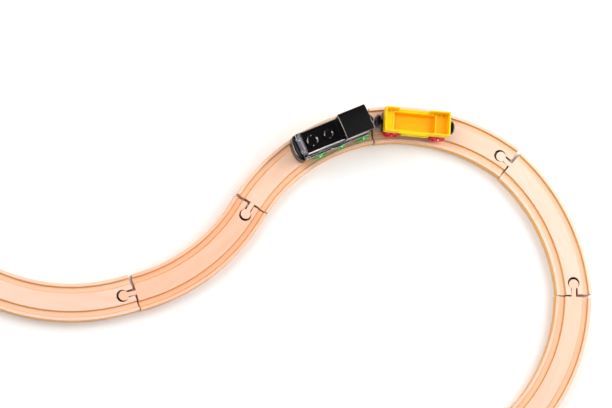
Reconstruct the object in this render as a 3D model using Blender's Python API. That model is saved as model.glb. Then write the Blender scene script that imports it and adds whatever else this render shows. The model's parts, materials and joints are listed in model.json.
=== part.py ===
"""Toy train on six curved pieces of wooden track.

A battery engine and an open wagon, coupled by magnets, stand in the wheel grooves of an S-shaped run of
45 degree curves. All sizes are named here in metres, and each one that another piece depends on is worked
out from it. The vehicles are built in their own frame: x forward, y to the left, z up from the floor.
"""

import math

import bmesh
import bpy
from mathutils import Matrix, Vector

MM = 0.001

# Gaps between pieces that touch, and the overlap of shapes that are joined into one piece
TOUCH = 0.3 * MM
JOIN = 0.4 * MM
PAST = 1.0 * MM

# Track
CURVE_RADIUS = 208 * MM
PIECE_ANGLE = math.radians(45)
TRACK_WIDTH = 40 * MM
TRACK_THICKNESS = 12 * MM
GAUGE = 26 * MM
GROOVE_WIDTH = 6.4 * MM
GROOVE_DEPTH = 3 * MM
END_TRIM = 0.15 * MM
ARC_STEPS = 20

# Peg and socket at the ends of each piece
PEG_HEAD_RADIUS = 5.5 * MM
PEG_REACH = 14 * MM
PEG_NECK_WIDTH = 5 * MM
PEG_PLAY = 0.8 * MM
PEG_PIVOT = 13 * MM

# How far each joint of the layout has swung within its play
PLAY_AB = math.radians(4.2)
PLAY_BC = math.radians(3.6)
PLAY_CD = math.radians(-3.1)
PLAY_DE = math.radians(-5.9)
PLAY_EF = math.radians(-5.4)
MOST_PLAY = max(abs(play) for play in (PLAY_AB, PLAY_BC, PLAY_CD, PLAY_DE, PLAY_EF))

# Each joint is pulled out to its stop, which leaves room for the corners and the neck at the widest swing
JOINT_PULL = TRACK_WIDTH / 2 * math.tan(MOST_PLAY) + 0.03 * MM
SOCKET_DEPTH = PEG_REACH - JOINT_PULL + PEG_PLAY - TOUCH
SLOT_PLAY = (PEG_PIVOT - JOINT_PULL) * math.tan(MOST_PLAY) + 0.17 * MM

# Wheels and axles, alike on both vehicles
WHEEL_RADIUS = 9 * MM
WHEEL_WIDTH = 2.4 * MM
AXLE_RADIUS = 1.5 * MM
WHEEL_STEPS = 24
HUB_RADIUS = WHEEL_RADIUS - GROOVE_DEPTH + TOUCH - 0.6 * MM
HUB_PROUD = 1.6 * MM
BORE_PROUD = 0.9 * MM

# Heights that follow from the track and the wheels
RAIL_TOP = TRACK_THICKNESS
AXLE_HEIGHT = TRACK_THICKNESS - GROOVE_DEPTH + TOUCH + WHEEL_RADIUS
DECK = AXLE_HEIGHT + WHEEL_RADIUS + 0.6 * MM
SEAT = DECK + TOUCH
FRAME_BOTTOM = RAIL_TOP + 1.5 * MM
FRAME_HALF_WIDTH = GAUGE / 2 - WHEEL_WIDTH / 2 - 1.8 * MM
FRAME_WALL = 1.5 * MM

# Magnet couplers, alike on both vehicles
COUPLER_REACH = 44.6 * MM
COUPLER_HEIGHT = AXLE_HEIGHT + 2.7 * MM
COUPLER_STEM_RADIUS = 2.2 * MM
COUPLER_STEM_LENGTH = 2.6 * MM
CUP_RADIUS = 6 * MM
CUP_LENGTH = 2.4 * MM
CUP_RECESS = 1 * MM
MAGNET_RADIUS = 5 * MM
MAGNET_FLAT_RADIUS = 3.4 * MM
MAGNET_PROUD = 2 * MM

# Screws
SCREW_HEAD_RADIUS = 1.9 * MM
SCREW_HEAD_HEIGHT = 1.3 * MM
SCREW_SHANK_RADIUS = 1 * MM
SCREW_HOLE_RADIUS = SCREW_SHANK_RADIUS + TOUCH

# Engine
LOCO_ANGLE = math.radians(101.4)
LOCO_AXLE_PITCH = 26.3 * MM
LOCO_REAR = -40.5 * MM
LOCO_FRONT = 45 * MM
SHELL_WALL = 1.6 * MM

BOILER_HALF_WIDTH = 12.2 * MM
BOILER_TOP = SEAT + 18.8 * MM
BOILER_SHOULDER = 3 * MM
RUNNING_BOARD_HALF_WIDTH = 15.2 * MM
RUNNING_BOARD_THICKNESS = 1.5 * MM
FRONT_PLATE_THICKNESS = 3.1 * MM
FRONT_PLATE_HALF_WIDTH = 11 * MM
LAMP_RADIUS = 2.4 * MM
LAMP_LENGTH = 2.1 * MM
LAMP_OFFSET = 7 * MM
BUMPER_LENGTH = 7.5 * MM
BUMPER_HALF_WIDTH = 15.2 * MM

CAB_REAR = -31.4 * MM
CAB_FRONT = 0.6 * MM
CAB_HALF_WIDTH = 13.4 * MM
CAB_TOP = SEAT + 27.3 * MM
WINDOW_RECESS = 0.5 * MM
ROOF_HALF_WIDTH = 14.2 * MM
ROOF_OVERHANG = 0.6 * MM
ROOF_EDGE = 1 * MM
ROOF_CROWN = 2.6 * MM
TONGUE_HALF_WIDTH = 6 * MM
REAR_SCREW_X = -35.2 * MM
FRONT_SCREW_X = 41.5 * MM

FRONT_BUTTON_X = 35.2 * MM
FRONT_BUTTON_RADIUS = 6.5 * MM
REAR_BUTTON_X = 15.7 * MM
REAR_BUTTON_RADIUS = 5.5 * MM
BUTTON_PROUD = 2.2 * MM
BUTTON_TRAVEL = 1.5 * MM
BUTTON_FLANGE = 0.7 * MM

# Works inside the engine
MODULE = 0.7 * MM
GEAR_TEETH = 15
PINION_TEETH = 12
GEAR_BACKLASH = 0.25 * MM
GEAR_SIDE = 5.7 * MM
GEAR_WIDTH = 2 * MM
MOTOR_LEAN = math.radians(44.6)
MOTOR_RADIUS = 5.5 * MM
MOTOR_LENGTH = 12.8 * MM
MOTOR_SHAFT_RADIUS = 0.9 * MM
BATTERY_RADIUS = 5.25 * MM
BATTERY_LENGTH = 44.5 * MM
CONTACT_THICKNESS = 0.5 * MM
BOARD_THICKNESS = 1.2 * MM
SWITCH_HEIGHT = 3 * MM

# Wagon
WAGON_AXLE_PITCH = 26 * MM
WAGON_HALF_LENGTH = 36.5 * MM
WAGON_HALF_WIDTH = FRAME_HALF_WIDTH + 3.6 * MM
WAGON_WALL = 1.8 * MM
WAGON_TOP = SEAT + 10.3 * MM
WAGON_MIDDLE_TOP = SEAT + 2.1 * MM
WAGON_PLATFORM = SEAT + 1.5 * MM
WAGON_FRONT_PANEL = 20.5 * MM
WAGON_REAR_PANEL = -14.5 * MM
WELL_FRONT = 25 * MM
WELL_REAR = -21 * MM
WELL_WALL = 1.2 * MM
WELL_FLOOR_THICKNESS = 1.5 * MM
SKIRT_HALF_LENGTH = WAGON_AXLE_PITCH - WHEEL_RADIUS - 1.5 * MM
SKIRT_BOTTOM = RAIL_TOP + 6 * MM
WAGON_SCREW_X = 30 * MM
WAGON_POST_RADIUS = 2.6 * MM


def clear_scene():
    """Remove whatever the start-up scene holds."""
    for found in list(bpy.data.objects):
        bpy.data.objects.remove(found, do_unlink=True)


def make_material(name, colour, roughness, metallic=0.0):
    """A plain material with one colour."""
    made = bpy.data.materials.new(name)
    made.use_nodes = True
    shader = made.node_tree.nodes["Principled BSDF"]
    shader.inputs["Base Color"].default_value = (*colour, 1.0)
    shader.inputs["Roughness"].default_value = roughness
    shader.inputs["Metallic"].default_value = metallic
    made.diffuse_color = (*colour, 1.0)
    return made


def make_empty(name, parent=None, location=(0, 0, 0), turn=0.0):
    """A frame that other objects hang from."""
    made = bpy.data.objects.new(name, None)
    made.parent = parent
    made.location = location
    made.rotation_euler = (0, 0, turn)
    bpy.context.scene.collection.objects.link(made)
    return made


def make_object(name, mesh, parent, material, location=(0, 0, 0), rotation=(0, 0, 0)):
    """Link one object that shows the mesh."""
    made = bpy.data.objects.new(name, mesh)
    made.parent = parent
    made.location = location
    made.rotation_euler = rotation
    if material and not mesh.materials:
        mesh.materials.append(material)
    bpy.context.scene.collection.objects.link(made)
    return made


def finish(name, bm, smooth=False):
    """Weld, turn the faces outward and hand back a mesh."""
    bmesh.ops.remove_doubles(bm, verts=bm.verts, dist=0.00001 * MM)
    bmesh.ops.recalc_face_normals(bm, faces=bm.faces)
    mesh = bpy.data.meshes.new(name)
    bm.to_mesh(mesh)
    bm.free()
    if smooth:
        mesh.shade_smooth()
        mesh.set_sharp_from_angle(angle=math.radians(35))
    return mesh


def box(name, low, high):
    """A box between two corners."""
    bm = bmesh.new()
    bmesh.ops.create_cube(bm, size=1.0)
    for vert in bm.verts:
        vert.co = Vector(low[i] + (vert.co[i] + 0.5) * (high[i] - low[i]) for i in range(3))
    return finish(name, bm)


def on_axis(axis, across, up, along):
    """A point given by its place across and up a plane, and along the axis square to that plane."""
    if axis == "X":
        return Vector((along, across, up))
    if axis == "Y":
        return Vector((across, along, up))
    return Vector((across, up, along))


def prism(name, outline, axis, start, end, smooth=False):
    """A flat outline drawn out along an axis."""
    bm = bmesh.new()
    face = bm.faces.new([bm.verts.new(on_axis(axis, a, b, start)) for a, b in outline])
    grown = bmesh.ops.extrude_face_region(bm, geom=[face])
    moved = [item for item in grown["geom"] if isinstance(item, bmesh.types.BMVert)]
    bmesh.ops.translate(bm, verts=moved, vec=on_axis(axis, 0, 0, end - start))
    return finish(name, bm, smooth)


def turned(name, profile, axis, steps, closed=False):
    """A profile of (radius, place along the axis) points turned all the way round."""
    bm = bmesh.new()
    verts = [bm.verts.new(on_axis(axis, r, 0, w)) for r, w in profile]
    pairs = list(zip(verts, verts[1:]))
    if closed:
        pairs.append((verts[-1], verts[0]))
    edges = [bm.edges.new(pair) for pair in pairs]
    direction = on_axis(axis, 0, 0, 1)
    bmesh.ops.spin(
        bm, geom=verts + edges, cent=(0, 0, 0), axis=direction, angle=math.tau, steps=steps, use_merge=True
    )
    return finish(name, bm, smooth=True)


def rod(name, radius, axis, start, end, place, steps=16):
    """A plain cylinder along an axis, at the (across, up) place of that axis."""
    mesh = turned(name, [(0, start), (radius, start), (radius, end), (0, end)], axis, steps)
    mesh.transform(Matrix.Translation(on_axis(axis, *place, 0)))
    return mesh


def stepped(name, levels, x):
    """An upright tool of (radius, bottom, top) lengths, one on the other, on the middle line at x."""
    profile = [(0, levels[0][1])]
    for radius, bottom, top in levels:
        profile += [(radius, bottom), (radius, top)]
    profile.append((0, levels[-1][2]))
    mesh = turned(name, profile, "Z", 16)
    mesh.transform(Matrix.Translation((x, 0, 0)))
    return mesh


def screw_post(name, radius, bottom, hole_top, top, x):
    """An upright post with a blind hole for a screw in its lower end."""
    hole = SCREW_HOLE_RADIUS
    profile = [(0, hole_top), (hole, hole_top), (hole, bottom), (radius, bottom), (radius, top), (0, top)]
    mesh = turned(name, profile, "Z", 16)
    mesh.transform(Matrix.Translation((x, 0, 0)))
    return mesh


def cut(target, mesh):
    """Take the mesh, given in the frame of the target, out of the target."""
    combine(target, mesh, "DIFFERENCE")


def join(target, mesh):
    """Make the mesh, given in the frame of the target, one with the target."""
    combine(target, mesh, "UNION")


def combine(target, mesh, operation):
    """Use the mesh as a Boolean tool. The target still stands unturned at the origin."""
    tool = make_object(mesh.name, mesh, None, None)
    tool.hide_render = True
    tool.display_type = "WIRE"
    step = target.modifiers.new(mesh.name, "BOOLEAN")
    step.operation = operation
    step.solver = "EXACT"
    step.object = tool


def settle(piece, parent, location=(0, 0, 0)):
    """Fix the result of the Booleans, drop the tools and hang the piece from its frame."""
    bpy.context.view_layer.update()
    ready = piece.evaluated_get(bpy.context.evaluated_depsgraph_get())
    mesh = bpy.data.meshes.new_from_object(ready)
    tools = [step.object for step in piece.modifiers]
    piece.modifiers.clear()
    piece.data = mesh
    piece.parent = parent
    piece.location = location
    for tool in tools:
        bpy.data.objects.remove(tool, do_unlink=True)


def arc(centre, radius, start, end, steps):
    """Points along an arc, both ends included."""
    turns = [start + (end - start) * i / steps for i in range(steps + 1)]
    return [(centre[0] + radius * math.cos(t), centre[1] + radius * math.sin(t)) for t in turns]


def arch(half_width, bottom, top, shoulder, steps=6):
    """Outline of a round-shouldered cross-section, from the lower right corner round to the lower left."""
    centre = (half_width - shoulder, top - shoulder)
    right = arc(centre, shoulder, 0, math.pi / 2, steps)
    left = [(-a, b) for a, b in reversed(right)]
    return [(half_width, bottom), *right, *left, (-half_width, bottom)]


def unit(angle):
    """Unit vector at an angle in the floor plane."""
    return Vector((math.cos(angle), math.sin(angle)))


# Track pieces


def groove_section():
    """Cross-section of the track, (radius, height), with two grooves in each face."""
    half = TRACK_WIDTH / 2
    points = [(half, 0), (half, TRACK_THICKNESS)]
    for side in (GAUGE / 2, -GAUGE / 2):
        for across, depth in ((1, 0), (1, 1), (-1, 1), (-1, 0)):
            points.append((side + across * GROOVE_WIDTH / 2, TRACK_THICKNESS - depth * GROOVE_DEPTH))
    points += [(-half, TRACK_THICKNESS), (-half, 0)]
    for side in (-GAUGE / 2, GAUGE / 2):
        for across, depth in ((-1, 0), (-1, 1), (1, 1), (1, 0)):
            points.append((side + across * GROOVE_WIDTH / 2, depth * GROOVE_DEPTH))
    return [(CURVE_RADIUS + across, height) for across, height in points]


def swept_curve():
    """The grooved section swept round the arc, with both ends closed."""
    bm = bmesh.new()
    trim = END_TRIM / CURVE_RADIUS
    verts = [bm.verts.new((r, 0, z)) for r, z in groove_section()]
    edges = [bm.edges.new((verts[i - 1], verts[i])) for i in range(len(verts))]
    start = Matrix.Rotation(trim, 3, "Z")
    bmesh.ops.rotate(bm, verts=verts, cent=(0, 0, 0), matrix=start)
    bmesh.ops.spin(
        bm,
        geom=verts + edges,
        cent=(0, 0, 0),
        axis=(0, 0, 1),
        angle=PIECE_ANGLE - 2 * trim,
        steps=ARC_STEPS,
    )
    rims = [edge for edge in bm.edges if edge.is_boundary]
    bmesh.ops.holes_fill(bm, edges=rims)
    return finish("curve_blank", bm)


def end_frame(angle):
    """Matrix that takes x to outward, y to anticlockwise and the origin to the middle of a track end."""
    return Matrix.Rotation(angle, 4, "Z") @ Matrix.Translation((CURVE_RADIUS, 0, 0))


def key_outline(head_radius, neck_width, head_place, neck_start):
    """Plan of a round head on a neck, with the neck along y."""
    half = neck_width / 2
    tilt = math.asin(half / head_radius)
    head = arc((0, head_place), head_radius, -math.pi / 2 + tilt, 1.5 * math.pi - tilt, 22)
    return [(half, neck_start), *head, (-half, neck_start)]


def curve_mesh():
    """One track piece: peg at the far end of its arc, socket at the near end."""
    piece = make_object("curve_blank", swept_curve(), None, None)
    trim = END_TRIM / CURVE_RADIUS

    plan = key_outline(PEG_HEAD_RADIUS, PEG_NECK_WIDTH, PEG_REACH, -2 * MM)
    peg = prism("peg", plan, "Z", TOUCH, TRACK_THICKNESS - TOUCH)
    peg.transform(end_frame(PIECE_ANGLE - trim))
    join(piece, peg)

    plan = key_outline(PEG_HEAD_RADIUS + PEG_PLAY, PEG_NECK_WIDTH + 2 * SLOT_PLAY, SOCKET_DEPTH, -PAST)
    socket = prism("socket", plan, "Z", -PAST, TRACK_THICKNESS + PAST)
    socket.transform(end_frame(trim))
    cut(piece, socket)

    settle(piece, None)
    mesh = piece.data
    bpy.data.objects.remove(piece, do_unlink=True)
    return mesh


def swing(point, pivot, angle):
    """Turn a point of the floor plane about a pivot."""
    return pivot + Matrix.Rotation(angle, 2) @ (point - pivot)


def chain_layout():
    """Centre and lowest angle of each piece's arc, and whether it lies turned over.

    Piece c lies on a circle about the origin. Each joint on either side of it has swung about its peg head
    and is pulled out to its stop, where the head meets the mouth of the socket.
    """

    def clockwise(centre, low, play):
        ahead = Vector((math.sin(low), -math.cos(low)))
        pivot = centre + CURVE_RADIUS * unit(low) - PEG_PIVOT * ahead
        return swing(centre, pivot, play) + ahead * JOINT_PULL, low + play - PIECE_ANGLE

    middle = Vector((0.0, 0.0))
    low_c = math.pi / 2
    centre_d, low_d = clockwise(middle, low_c, PLAY_CD)
    centre_e, low_e = clockwise(centre_d, low_d, PLAY_DE)
    centre_f, low_f = clockwise(centre_e, low_e, PLAY_EF)

    high_c = low_c + PIECE_ANGLE
    ahead = Vector((-math.sin(high_c), math.cos(high_c)))
    meeting = CURVE_RADIUS * unit(high_c)
    centre_b = swing(2 * meeting, meeting + PEG_PIVOT * ahead, PLAY_BC) + ahead * JOINT_PULL
    low_b = high_c + math.pi + PLAY_BC - PIECE_ANGLE

    ahead = Vector((math.sin(low_b), -math.cos(low_b)))
    pivot = centre_b + CURVE_RADIUS * unit(low_b) + PEG_PIVOT * ahead
    centre_a = swing(centre_b, pivot, PLAY_AB) + ahead * JOINT_PULL
    low_a = low_b + PLAY_AB - PIECE_ANGLE
    return {
        "a": (centre_a, low_a, True),
        "b": (centre_b, low_b, True),
        "c": (middle, low_c, False),
        "d": (centre_d, low_d, False),
        "e": (centre_e, low_e, False),
        "f": (centre_f, low_f, False),
    }


def build_track(root, wood):
    """Lay the six pieces. A piece that lies turned over curves the other way."""
    mesh = curve_mesh()
    for letter, (centre, low, turned_over) in chain_layout().items():
        lift = TRACK_THICKNESS if turned_over else 0
        roll = math.pi if turned_over else 0
        turn = low + PIECE_ANGLE if turned_over else low
        make_object(f"track_curve_{letter}", mesh, root, wood, (*centre, lift), (roll, 0, turn))


# Pieces that both vehicles have


def groove_shift(pitch):
    """How far inward an axle stands, so that the wheels keep clear of both walls of the curved grooves."""
    sunk = GROOVE_DEPTH - TOUCH
    chord = math.sqrt(WHEEL_RADIUS**2 - (WHEEL_RADIUS - sunk) ** 2)
    return (pitch + chord) ** 2 / (4 * CURVE_RADIUS)


def wheel_mesh(name):
    """A wheel with a blind bore, a bevelled rim and a domed hub. Its outer face looks along +y."""
    r = WHEEL_RADIUS
    w = WHEEL_WIDTH / 2
    web = 0.4 * w
    bore = AXLE_RADIUS + TOUCH
    profile = [(0, w + BORE_PROUD), (bore, w + BORE_PROUD), (bore, -w), (0.93 * r, -w), (r, -0.55 * w)]
    profile += [(r, 0.6 * w), (0.95 * r, w), (0.83 * r, w), (0.78 * r, web)]
    rise = w + HUB_PROUD - web
    dome = arc((0, 0), 1, 0, math.pi / 2, 5)
    profile += [(HUB_RADIUS * out, web + rise * up) for out, up in dome[:-1]]
    profile.append((0, web + rise))
    return turned(name, profile, "Y", WHEEL_STEPS)


def add_axle(prefix, place, frame, x, side, wheel, paint, steel):
    """One axle with its two wheels, all on their own turning axis."""
    centre = (x, side, AXLE_HEIGHT)
    reach = GAUGE / 2 + WHEEL_WIDTH / 2 + BORE_PROUD - TOUCH
    tip = AXLE_RADIUS - TOUCH
    profile = [(0, -reach), (tip, -reach), (AXLE_RADIUS, TOUCH - reach), (AXLE_RADIUS, reach - TOUCH)]
    profile += [(tip, reach), (0, reach)]
    make_object(f"{prefix}_axle_{place}", turned("axle", profile, "Y", 16), frame, steel, centre)
    near = (x, side + GAUGE / 2, AXLE_HEIGHT)
    far = (x, side - GAUGE / 2, AXLE_HEIGHT)
    make_object(f"{prefix}_wheel_{place}_near", wheel, frame, paint, near)
    make_object(f"{prefix}_wheel_{place}_far", wheel, frame, paint, far, (0, 0, math.pi))


def add_coupler(prefix, place, frame, facing, frame_end, black, steel):
    """A cup on a stem with a magnet in it. Facing is 1 for the front and -1 for the rear."""
    front = COUPLER_REACH - MAGNET_PROUD
    back = max(frame_end + TOUCH, front - CUP_LENGTH)
    pocket = MAGNET_RADIUS + TOUCH
    cup = [(0, frame_end - COUPLER_STEM_LENGTH), (COUPLER_STEM_RADIUS, frame_end - COUPLER_STEM_LENGTH)]
    cup += [(COUPLER_STEM_RADIUS, back), (CUP_RADIUS, back), (CUP_RADIUS, front), (pocket, front)]
    cup += [(pocket, front - CUP_RECESS), (0, front - CUP_RECESS)]
    seat = front - CUP_RECESS + TOUCH
    magnet = [(0, seat), (MAGNET_RADIUS, seat), (MAGNET_RADIUS, COUPLER_REACH - 0.9 * MM)]
    magnet += [(MAGNET_FLAT_RADIUS, COUPLER_REACH), (0, COUPLER_REACH)]
    turn = (0, 0, 0 if facing > 0 else math.pi)
    at = (0, 0, COUPLER_HEIGHT)
    make_object(f"{prefix}_coupler_{place}", turned("coupler", cup, "X", 24), frame, black, at, turn)
    make_object(f"{prefix}_magnet_{place}", turned("magnet", magnet, "X", 24), frame, steel, at, turn)


def stem_hole(frame_end, facing):
    """Hole for the stem of a coupler in the end of a frame."""
    inner = facing * (frame_end - COUPLER_STEM_LENGTH - TOUCH)
    outer = facing * (frame_end + PAST)
    radius = COUPLER_STEM_RADIUS + TOUCH
    return rod("stem_hole", radius, "X", min(inner, outer), max(inner, outer), (0, COUPLER_HEIGHT))


def add_screw(name, frame, x, seat, tip, steel):
    """A screw whose head sits at the height seat and whose shank ends at the height tip."""
    away = 1 if seat > tip else -1
    head = seat + away * SCREW_HEAD_HEIGHT
    profile = [(0, tip), (SCREW_SHANK_RADIUS, tip), (SCREW_SHANK_RADIUS, seat), (SCREW_HEAD_RADIUS, seat)]
    profile += [(SCREW_HEAD_RADIUS, head - away * TOUCH), (SCREW_HEAD_RADIUS - TOUCH, head), (0.8 * MM, head)]
    profile += [(0, head - away * 0.6 * MM)]
    make_object(name, turned("screw", profile, "Z", 16), frame, steel, (x, 0, 0))


# Engine


def motor_place():
    """Where the motor shaft runs: the middle distance of the gears away from the rear axle."""
    distance = MODULE * (GEAR_TEETH + PINION_TEETH) / 2 + GEAR_BACKLASH
    x = -LOCO_AXLE_PITCH + distance * math.cos(MOTOR_LEAN)
    return x, AXLE_HEIGHT + distance * math.sin(MOTOR_LEAN)


TRAY_FLOOR = AXLE_HEIGHT + AXLE_RADIUS + 0.65 * MM
TRAY_HALF_WIDTH = FRAME_HALF_WIDTH - FRAME_WALL
MOTOR_X, MOTOR_Z = motor_place()
REAR_CONTACT_X = MOTOR_X + MOTOR_RADIUS + 0.5 * MM
BATTERY_START = REAR_CONTACT_X + CONTACT_THICKNESS + TOUCH
BATTERY_END = BATTERY_START + BATTERY_LENGTH
FRONT_CONTACT_X = BATTERY_END + TOUCH
BATTERY_Z = TRAY_FLOOR + TOUCH + BATTERY_RADIUS
LEDGE = BATTERY_Z + BATTERY_RADIUS + 2.75 * MM
BOARD_BOTTOM = LEDGE + TOUCH
SWITCH_TOP = BOARD_BOTTOM + BOARD_THICKNESS + SWITCH_HEIGHT


def gear_outline(teeth, phase):
    """Plan of a gear with straight-sided teeth, the first of them at the phase angle."""
    pitch_radius = MODULE * teeth / 2
    root = pitch_radius - 0.85 * MM
    tip = pitch_radius + 0.6 * MM
    step = math.tau / teeth
    points = []
    for tooth in range(teeth):
        middle = phase + tooth * step
        for radius, share in ((root, -0.26), (tip, -0.11), (tip, 0.11), (root, 0.26)):
            turn = middle + share * step
            points.append((radius * math.cos(turn), radius * math.sin(turn)))
    return points


def build_chassis(frame, black):
    """Tray that carries everything: bearings, cradle for the motor, seat for the battery."""
    low = (LOCO_REAR, -FRAME_HALF_WIDTH, FRAME_BOTTOM)
    high = (LOCO_FRONT, FRAME_HALF_WIDTH, DECK)
    chassis = make_object("loco_chassis", box("chassis", low, high), None, black)
    tray_rear = MOTOR_X - MOTOR_RADIUS - 4.6 * MM
    tray_low = (tray_rear, -TRAY_HALF_WIDTH, TRAY_FLOOR)
    cut(chassis, box("tray", tray_low, (LOCO_FRONT - 2 * MM, TRAY_HALF_WIDTH, DECK + PAST)))
    pocket_top = TRAY_FLOOR - FRAME_WALL
    bearing = AXLE_RADIUS + 2.6 * MM
    spans = [
        (bearing, LOCO_AXLE_PITCH - bearing),
        (LOCO_AXLE_PITCH + bearing, FRONT_SCREW_X - 4 * MM),
        (MOTOR_X + MOTOR_RADIUS + 1.4 * MM, -bearing),
    ]
    for start, end in spans:
        pocket_low = (start, -TRAY_HALF_WIDTH, FRAME_BOTTOM - PAST)
        cut(chassis, box("pocket", pocket_low, (end, TRAY_HALF_WIDTH, pocket_top)))
    reach = FRAME_HALF_WIDTH + PAST
    for x in (LOCO_AXLE_PITCH, 0, -LOCO_AXLE_PITCH):
        cut(chassis, rod("bearing", AXLE_RADIUS + TOUCH, "Y", -reach, reach, (x, AXLE_HEIGHT)))
    slot_start = -LOCO_AXLE_PITCH - MODULE * (GEAR_TEETH / 2 + 1) - 0.6 * MM
    slot_end = MOTOR_X + MODULE * (PINION_TEETH / 2 + 1) + 0.6 * MM
    slot_low = (slot_start, GEAR_SIDE - 0.5 * MM, FRAME_BOTTOM - PAST)
    slot_high = (slot_end, GEAR_SIDE + GEAR_WIDTH + 0.5 * MM, DECK + PAST)
    cut(chassis, box("gear_slot", slot_low, slot_high))
    motor_front = GEAR_SIDE - 1 * MM
    place = (MOTOR_X, MOTOR_Z)
    cradle = MOTOR_RADIUS + TOUCH
    cradle_low = motor_front - MOTOR_LENGTH - TOUCH
    cut(chassis, rod("cradle", cradle, "Y", cradle_low, motor_front + TOUCH, place, 24))
    head_top = FRAME_BOTTOM + SCREW_HEAD_HEIGHT + 2 * TOUCH
    levels = [
        (SCREW_HEAD_RADIUS + TOUCH, FRAME_BOTTOM - PAST, head_top),
        (SCREW_HOLE_RADIUS, head_top, TRAY_FLOOR + PAST),
    ]
    cut(chassis, stepped("front_screw_hole", levels, FRONT_SCREW_X))
    levels = [(SCREW_HOLE_RADIUS, DECK - 7 * MM, DECK + PAST)]
    cut(chassis, stepped("rear_screw_hole", levels, REAR_SCREW_X))
    cut(chassis, stem_hole(-LOCO_REAR, -1))
    settle(chassis, frame)


def build_boiler(frame, black):
    """Boiler shell with its running boards, open below, with holes for the two buttons."""
    start = CAB_FRONT + TOUCH
    end = LOCO_FRONT + 0.1 * MM
    board = RUNNING_BOARD_HALF_WIDTH
    rise = SEAT + RUNNING_BOARD_THICKNESS
    outline = [(board, SEAT), (board, rise), *arch(BOILER_HALF_WIDTH, rise, BOILER_TOP, BOILER_SHOULDER)]
    outline += [(-board, rise), (-board, SEAT)]
    shell = make_object("loco_boiler_shell", prism("boiler", outline, "X", start, end, True), None, black)
    inside = end - SHELL_WALL
    inner_half = BOILER_HALF_WIDTH - SHELL_WALL
    inner_top = BOILER_TOP - SHELL_WALL
    lower_low = (start - PAST, -TRAY_HALF_WIDTH, SEAT - PAST)
    cut(shell, box("boiler_lower", lower_low, (inside, TRAY_HALF_WIDTH, LEDGE + JOIN)))
    hollow = arch(inner_half, LEDGE, inner_top, BOILER_SHOULDER - SHELL_WALL)
    cut(shell, prism("boiler_upper", hollow, "X", start - PAST, inside))
    post_top = LEDGE + 5 * MM
    join(shell, screw_post("post", 2.75 * MM, SEAT + TOUCH, post_top - 1.5 * MM, post_top, FRONT_SCREW_X))
    for x, radius in ((FRONT_BUTTON_X, FRONT_BUTTON_RADIUS), (REAR_BUTTON_X, REAR_BUTTON_RADIUS)):
        hole = rod("button_hole", radius + TOUCH, "Z", inner_top - PAST, BOILER_TOP + PAST, (x, 0), 32)
        cut(shell, hole)
    settle(shell, frame)

    plate_start = end + TOUCH
    plate_end = plate_start + FRONT_PLATE_THICKNESS
    plan = arch(FRONT_PLATE_HALF_WIDTH, rise + TOUCH, BOILER_TOP - 1 * MM, BOILER_SHOULDER - 1 * MM)
    plate = prism("front_plate", plan, "X", plate_start, plate_end, True)
    return plate, plate_end


def build_cab(frame, black, matte):
    """Cab on its running boards, with a tongue behind it for the rear screw, and a separate arched roof."""
    board = RUNNING_BOARD_HALF_WIDTH
    rise = SEAT + RUNNING_BOARD_THICKNESS
    side = [(board, SEAT), (board, rise), (CAB_HALF_WIDTH, rise), (CAB_HALF_WIDTH, CAB_TOP)]
    outline = side + [(-y, z) for y, z in reversed(side)]
    cab = make_object("loco_cab_shell", prism("cab", outline, "X", CAB_REAR, CAB_FRONT), None, black)
    inner_half = CAB_HALF_WIDTH - SHELL_WALL
    inner_low = (CAB_REAR + SHELL_WALL, -inner_half, SEAT - PAST)
    cut(cab, box("cab_inside", inner_low, (CAB_FRONT - SHELL_WALL, inner_half, CAB_TOP + PAST)))
    sill = SEAT + 11 * MM
    lintel = CAB_TOP - 4 * MM
    length = CAB_FRONT - CAB_REAR
    for facing in (1, -1):
        edges = sorted((facing * (CAB_HALF_WIDTH - WINDOW_RECESS), facing * (CAB_HALF_WIDTH + PAST)))
        window_low = (CAB_REAR + 0.24 * length, edges[0], sill)
        cut(cab, box("side_window", window_low, (CAB_REAR + 0.7 * length, edges[1], lintel)))
    rear_half = 0.45 * CAB_HALF_WIDTH
    rear_low = (CAB_REAR - PAST, -rear_half, sill)
    cut(cab, box("rear_window", rear_low, (CAB_REAR + SHELL_WALL + PAST, rear_half, lintel)))
    notch_half = BATTERY_RADIUS + 0.6 * MM
    notch_low = (CAB_FRONT - SHELL_WALL - PAST, -notch_half, SEAT - PAST)
    notch_top = BATTERY_Z + BATTERY_RADIUS + 0.6 * MM
    cut(cab, box("battery_notch", notch_low, (CAB_FRONT + PAST, notch_half, notch_top)))
    tongue_low = (LOCO_REAR + 1 * MM, -TONGUE_HALF_WIDTH, SEAT)
    tongue_high = (CAB_REAR + JOIN, TONGUE_HALF_WIDTH, SEAT + SHELL_WALL)
    join(cab, box("tongue", tongue_low, tongue_high))
    hole_top = SEAT + SHELL_WALL + PAST
    cut(cab, rod("tongue_hole", SCREW_HOLE_RADIUS, "Z", SEAT - PAST, hole_top, (REAR_SCREW_X, 0)))
    settle(cab, frame)

    under = CAB_TOP + TOUCH
    half = ROOF_HALF_WIDTH
    steps = 12
    top = [(half * (1 - 2 * i / steps), 1 - (1 - 2 * i / steps) ** 2) for i in range(steps + 1)]
    crown = [(y, under + ROOF_EDGE + (ROOF_CROWN - ROOF_EDGE) * share) for y, share in top]
    roof = [(half, under), *crown, (-half, under)]
    start = CAB_REAR - ROOF_OVERHANG
    mesh = prism("roof", roof, "X", start, CAB_FRONT + TOUCH, True)
    make_object("loco_cab_roof", mesh, frame, matte)


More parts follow.
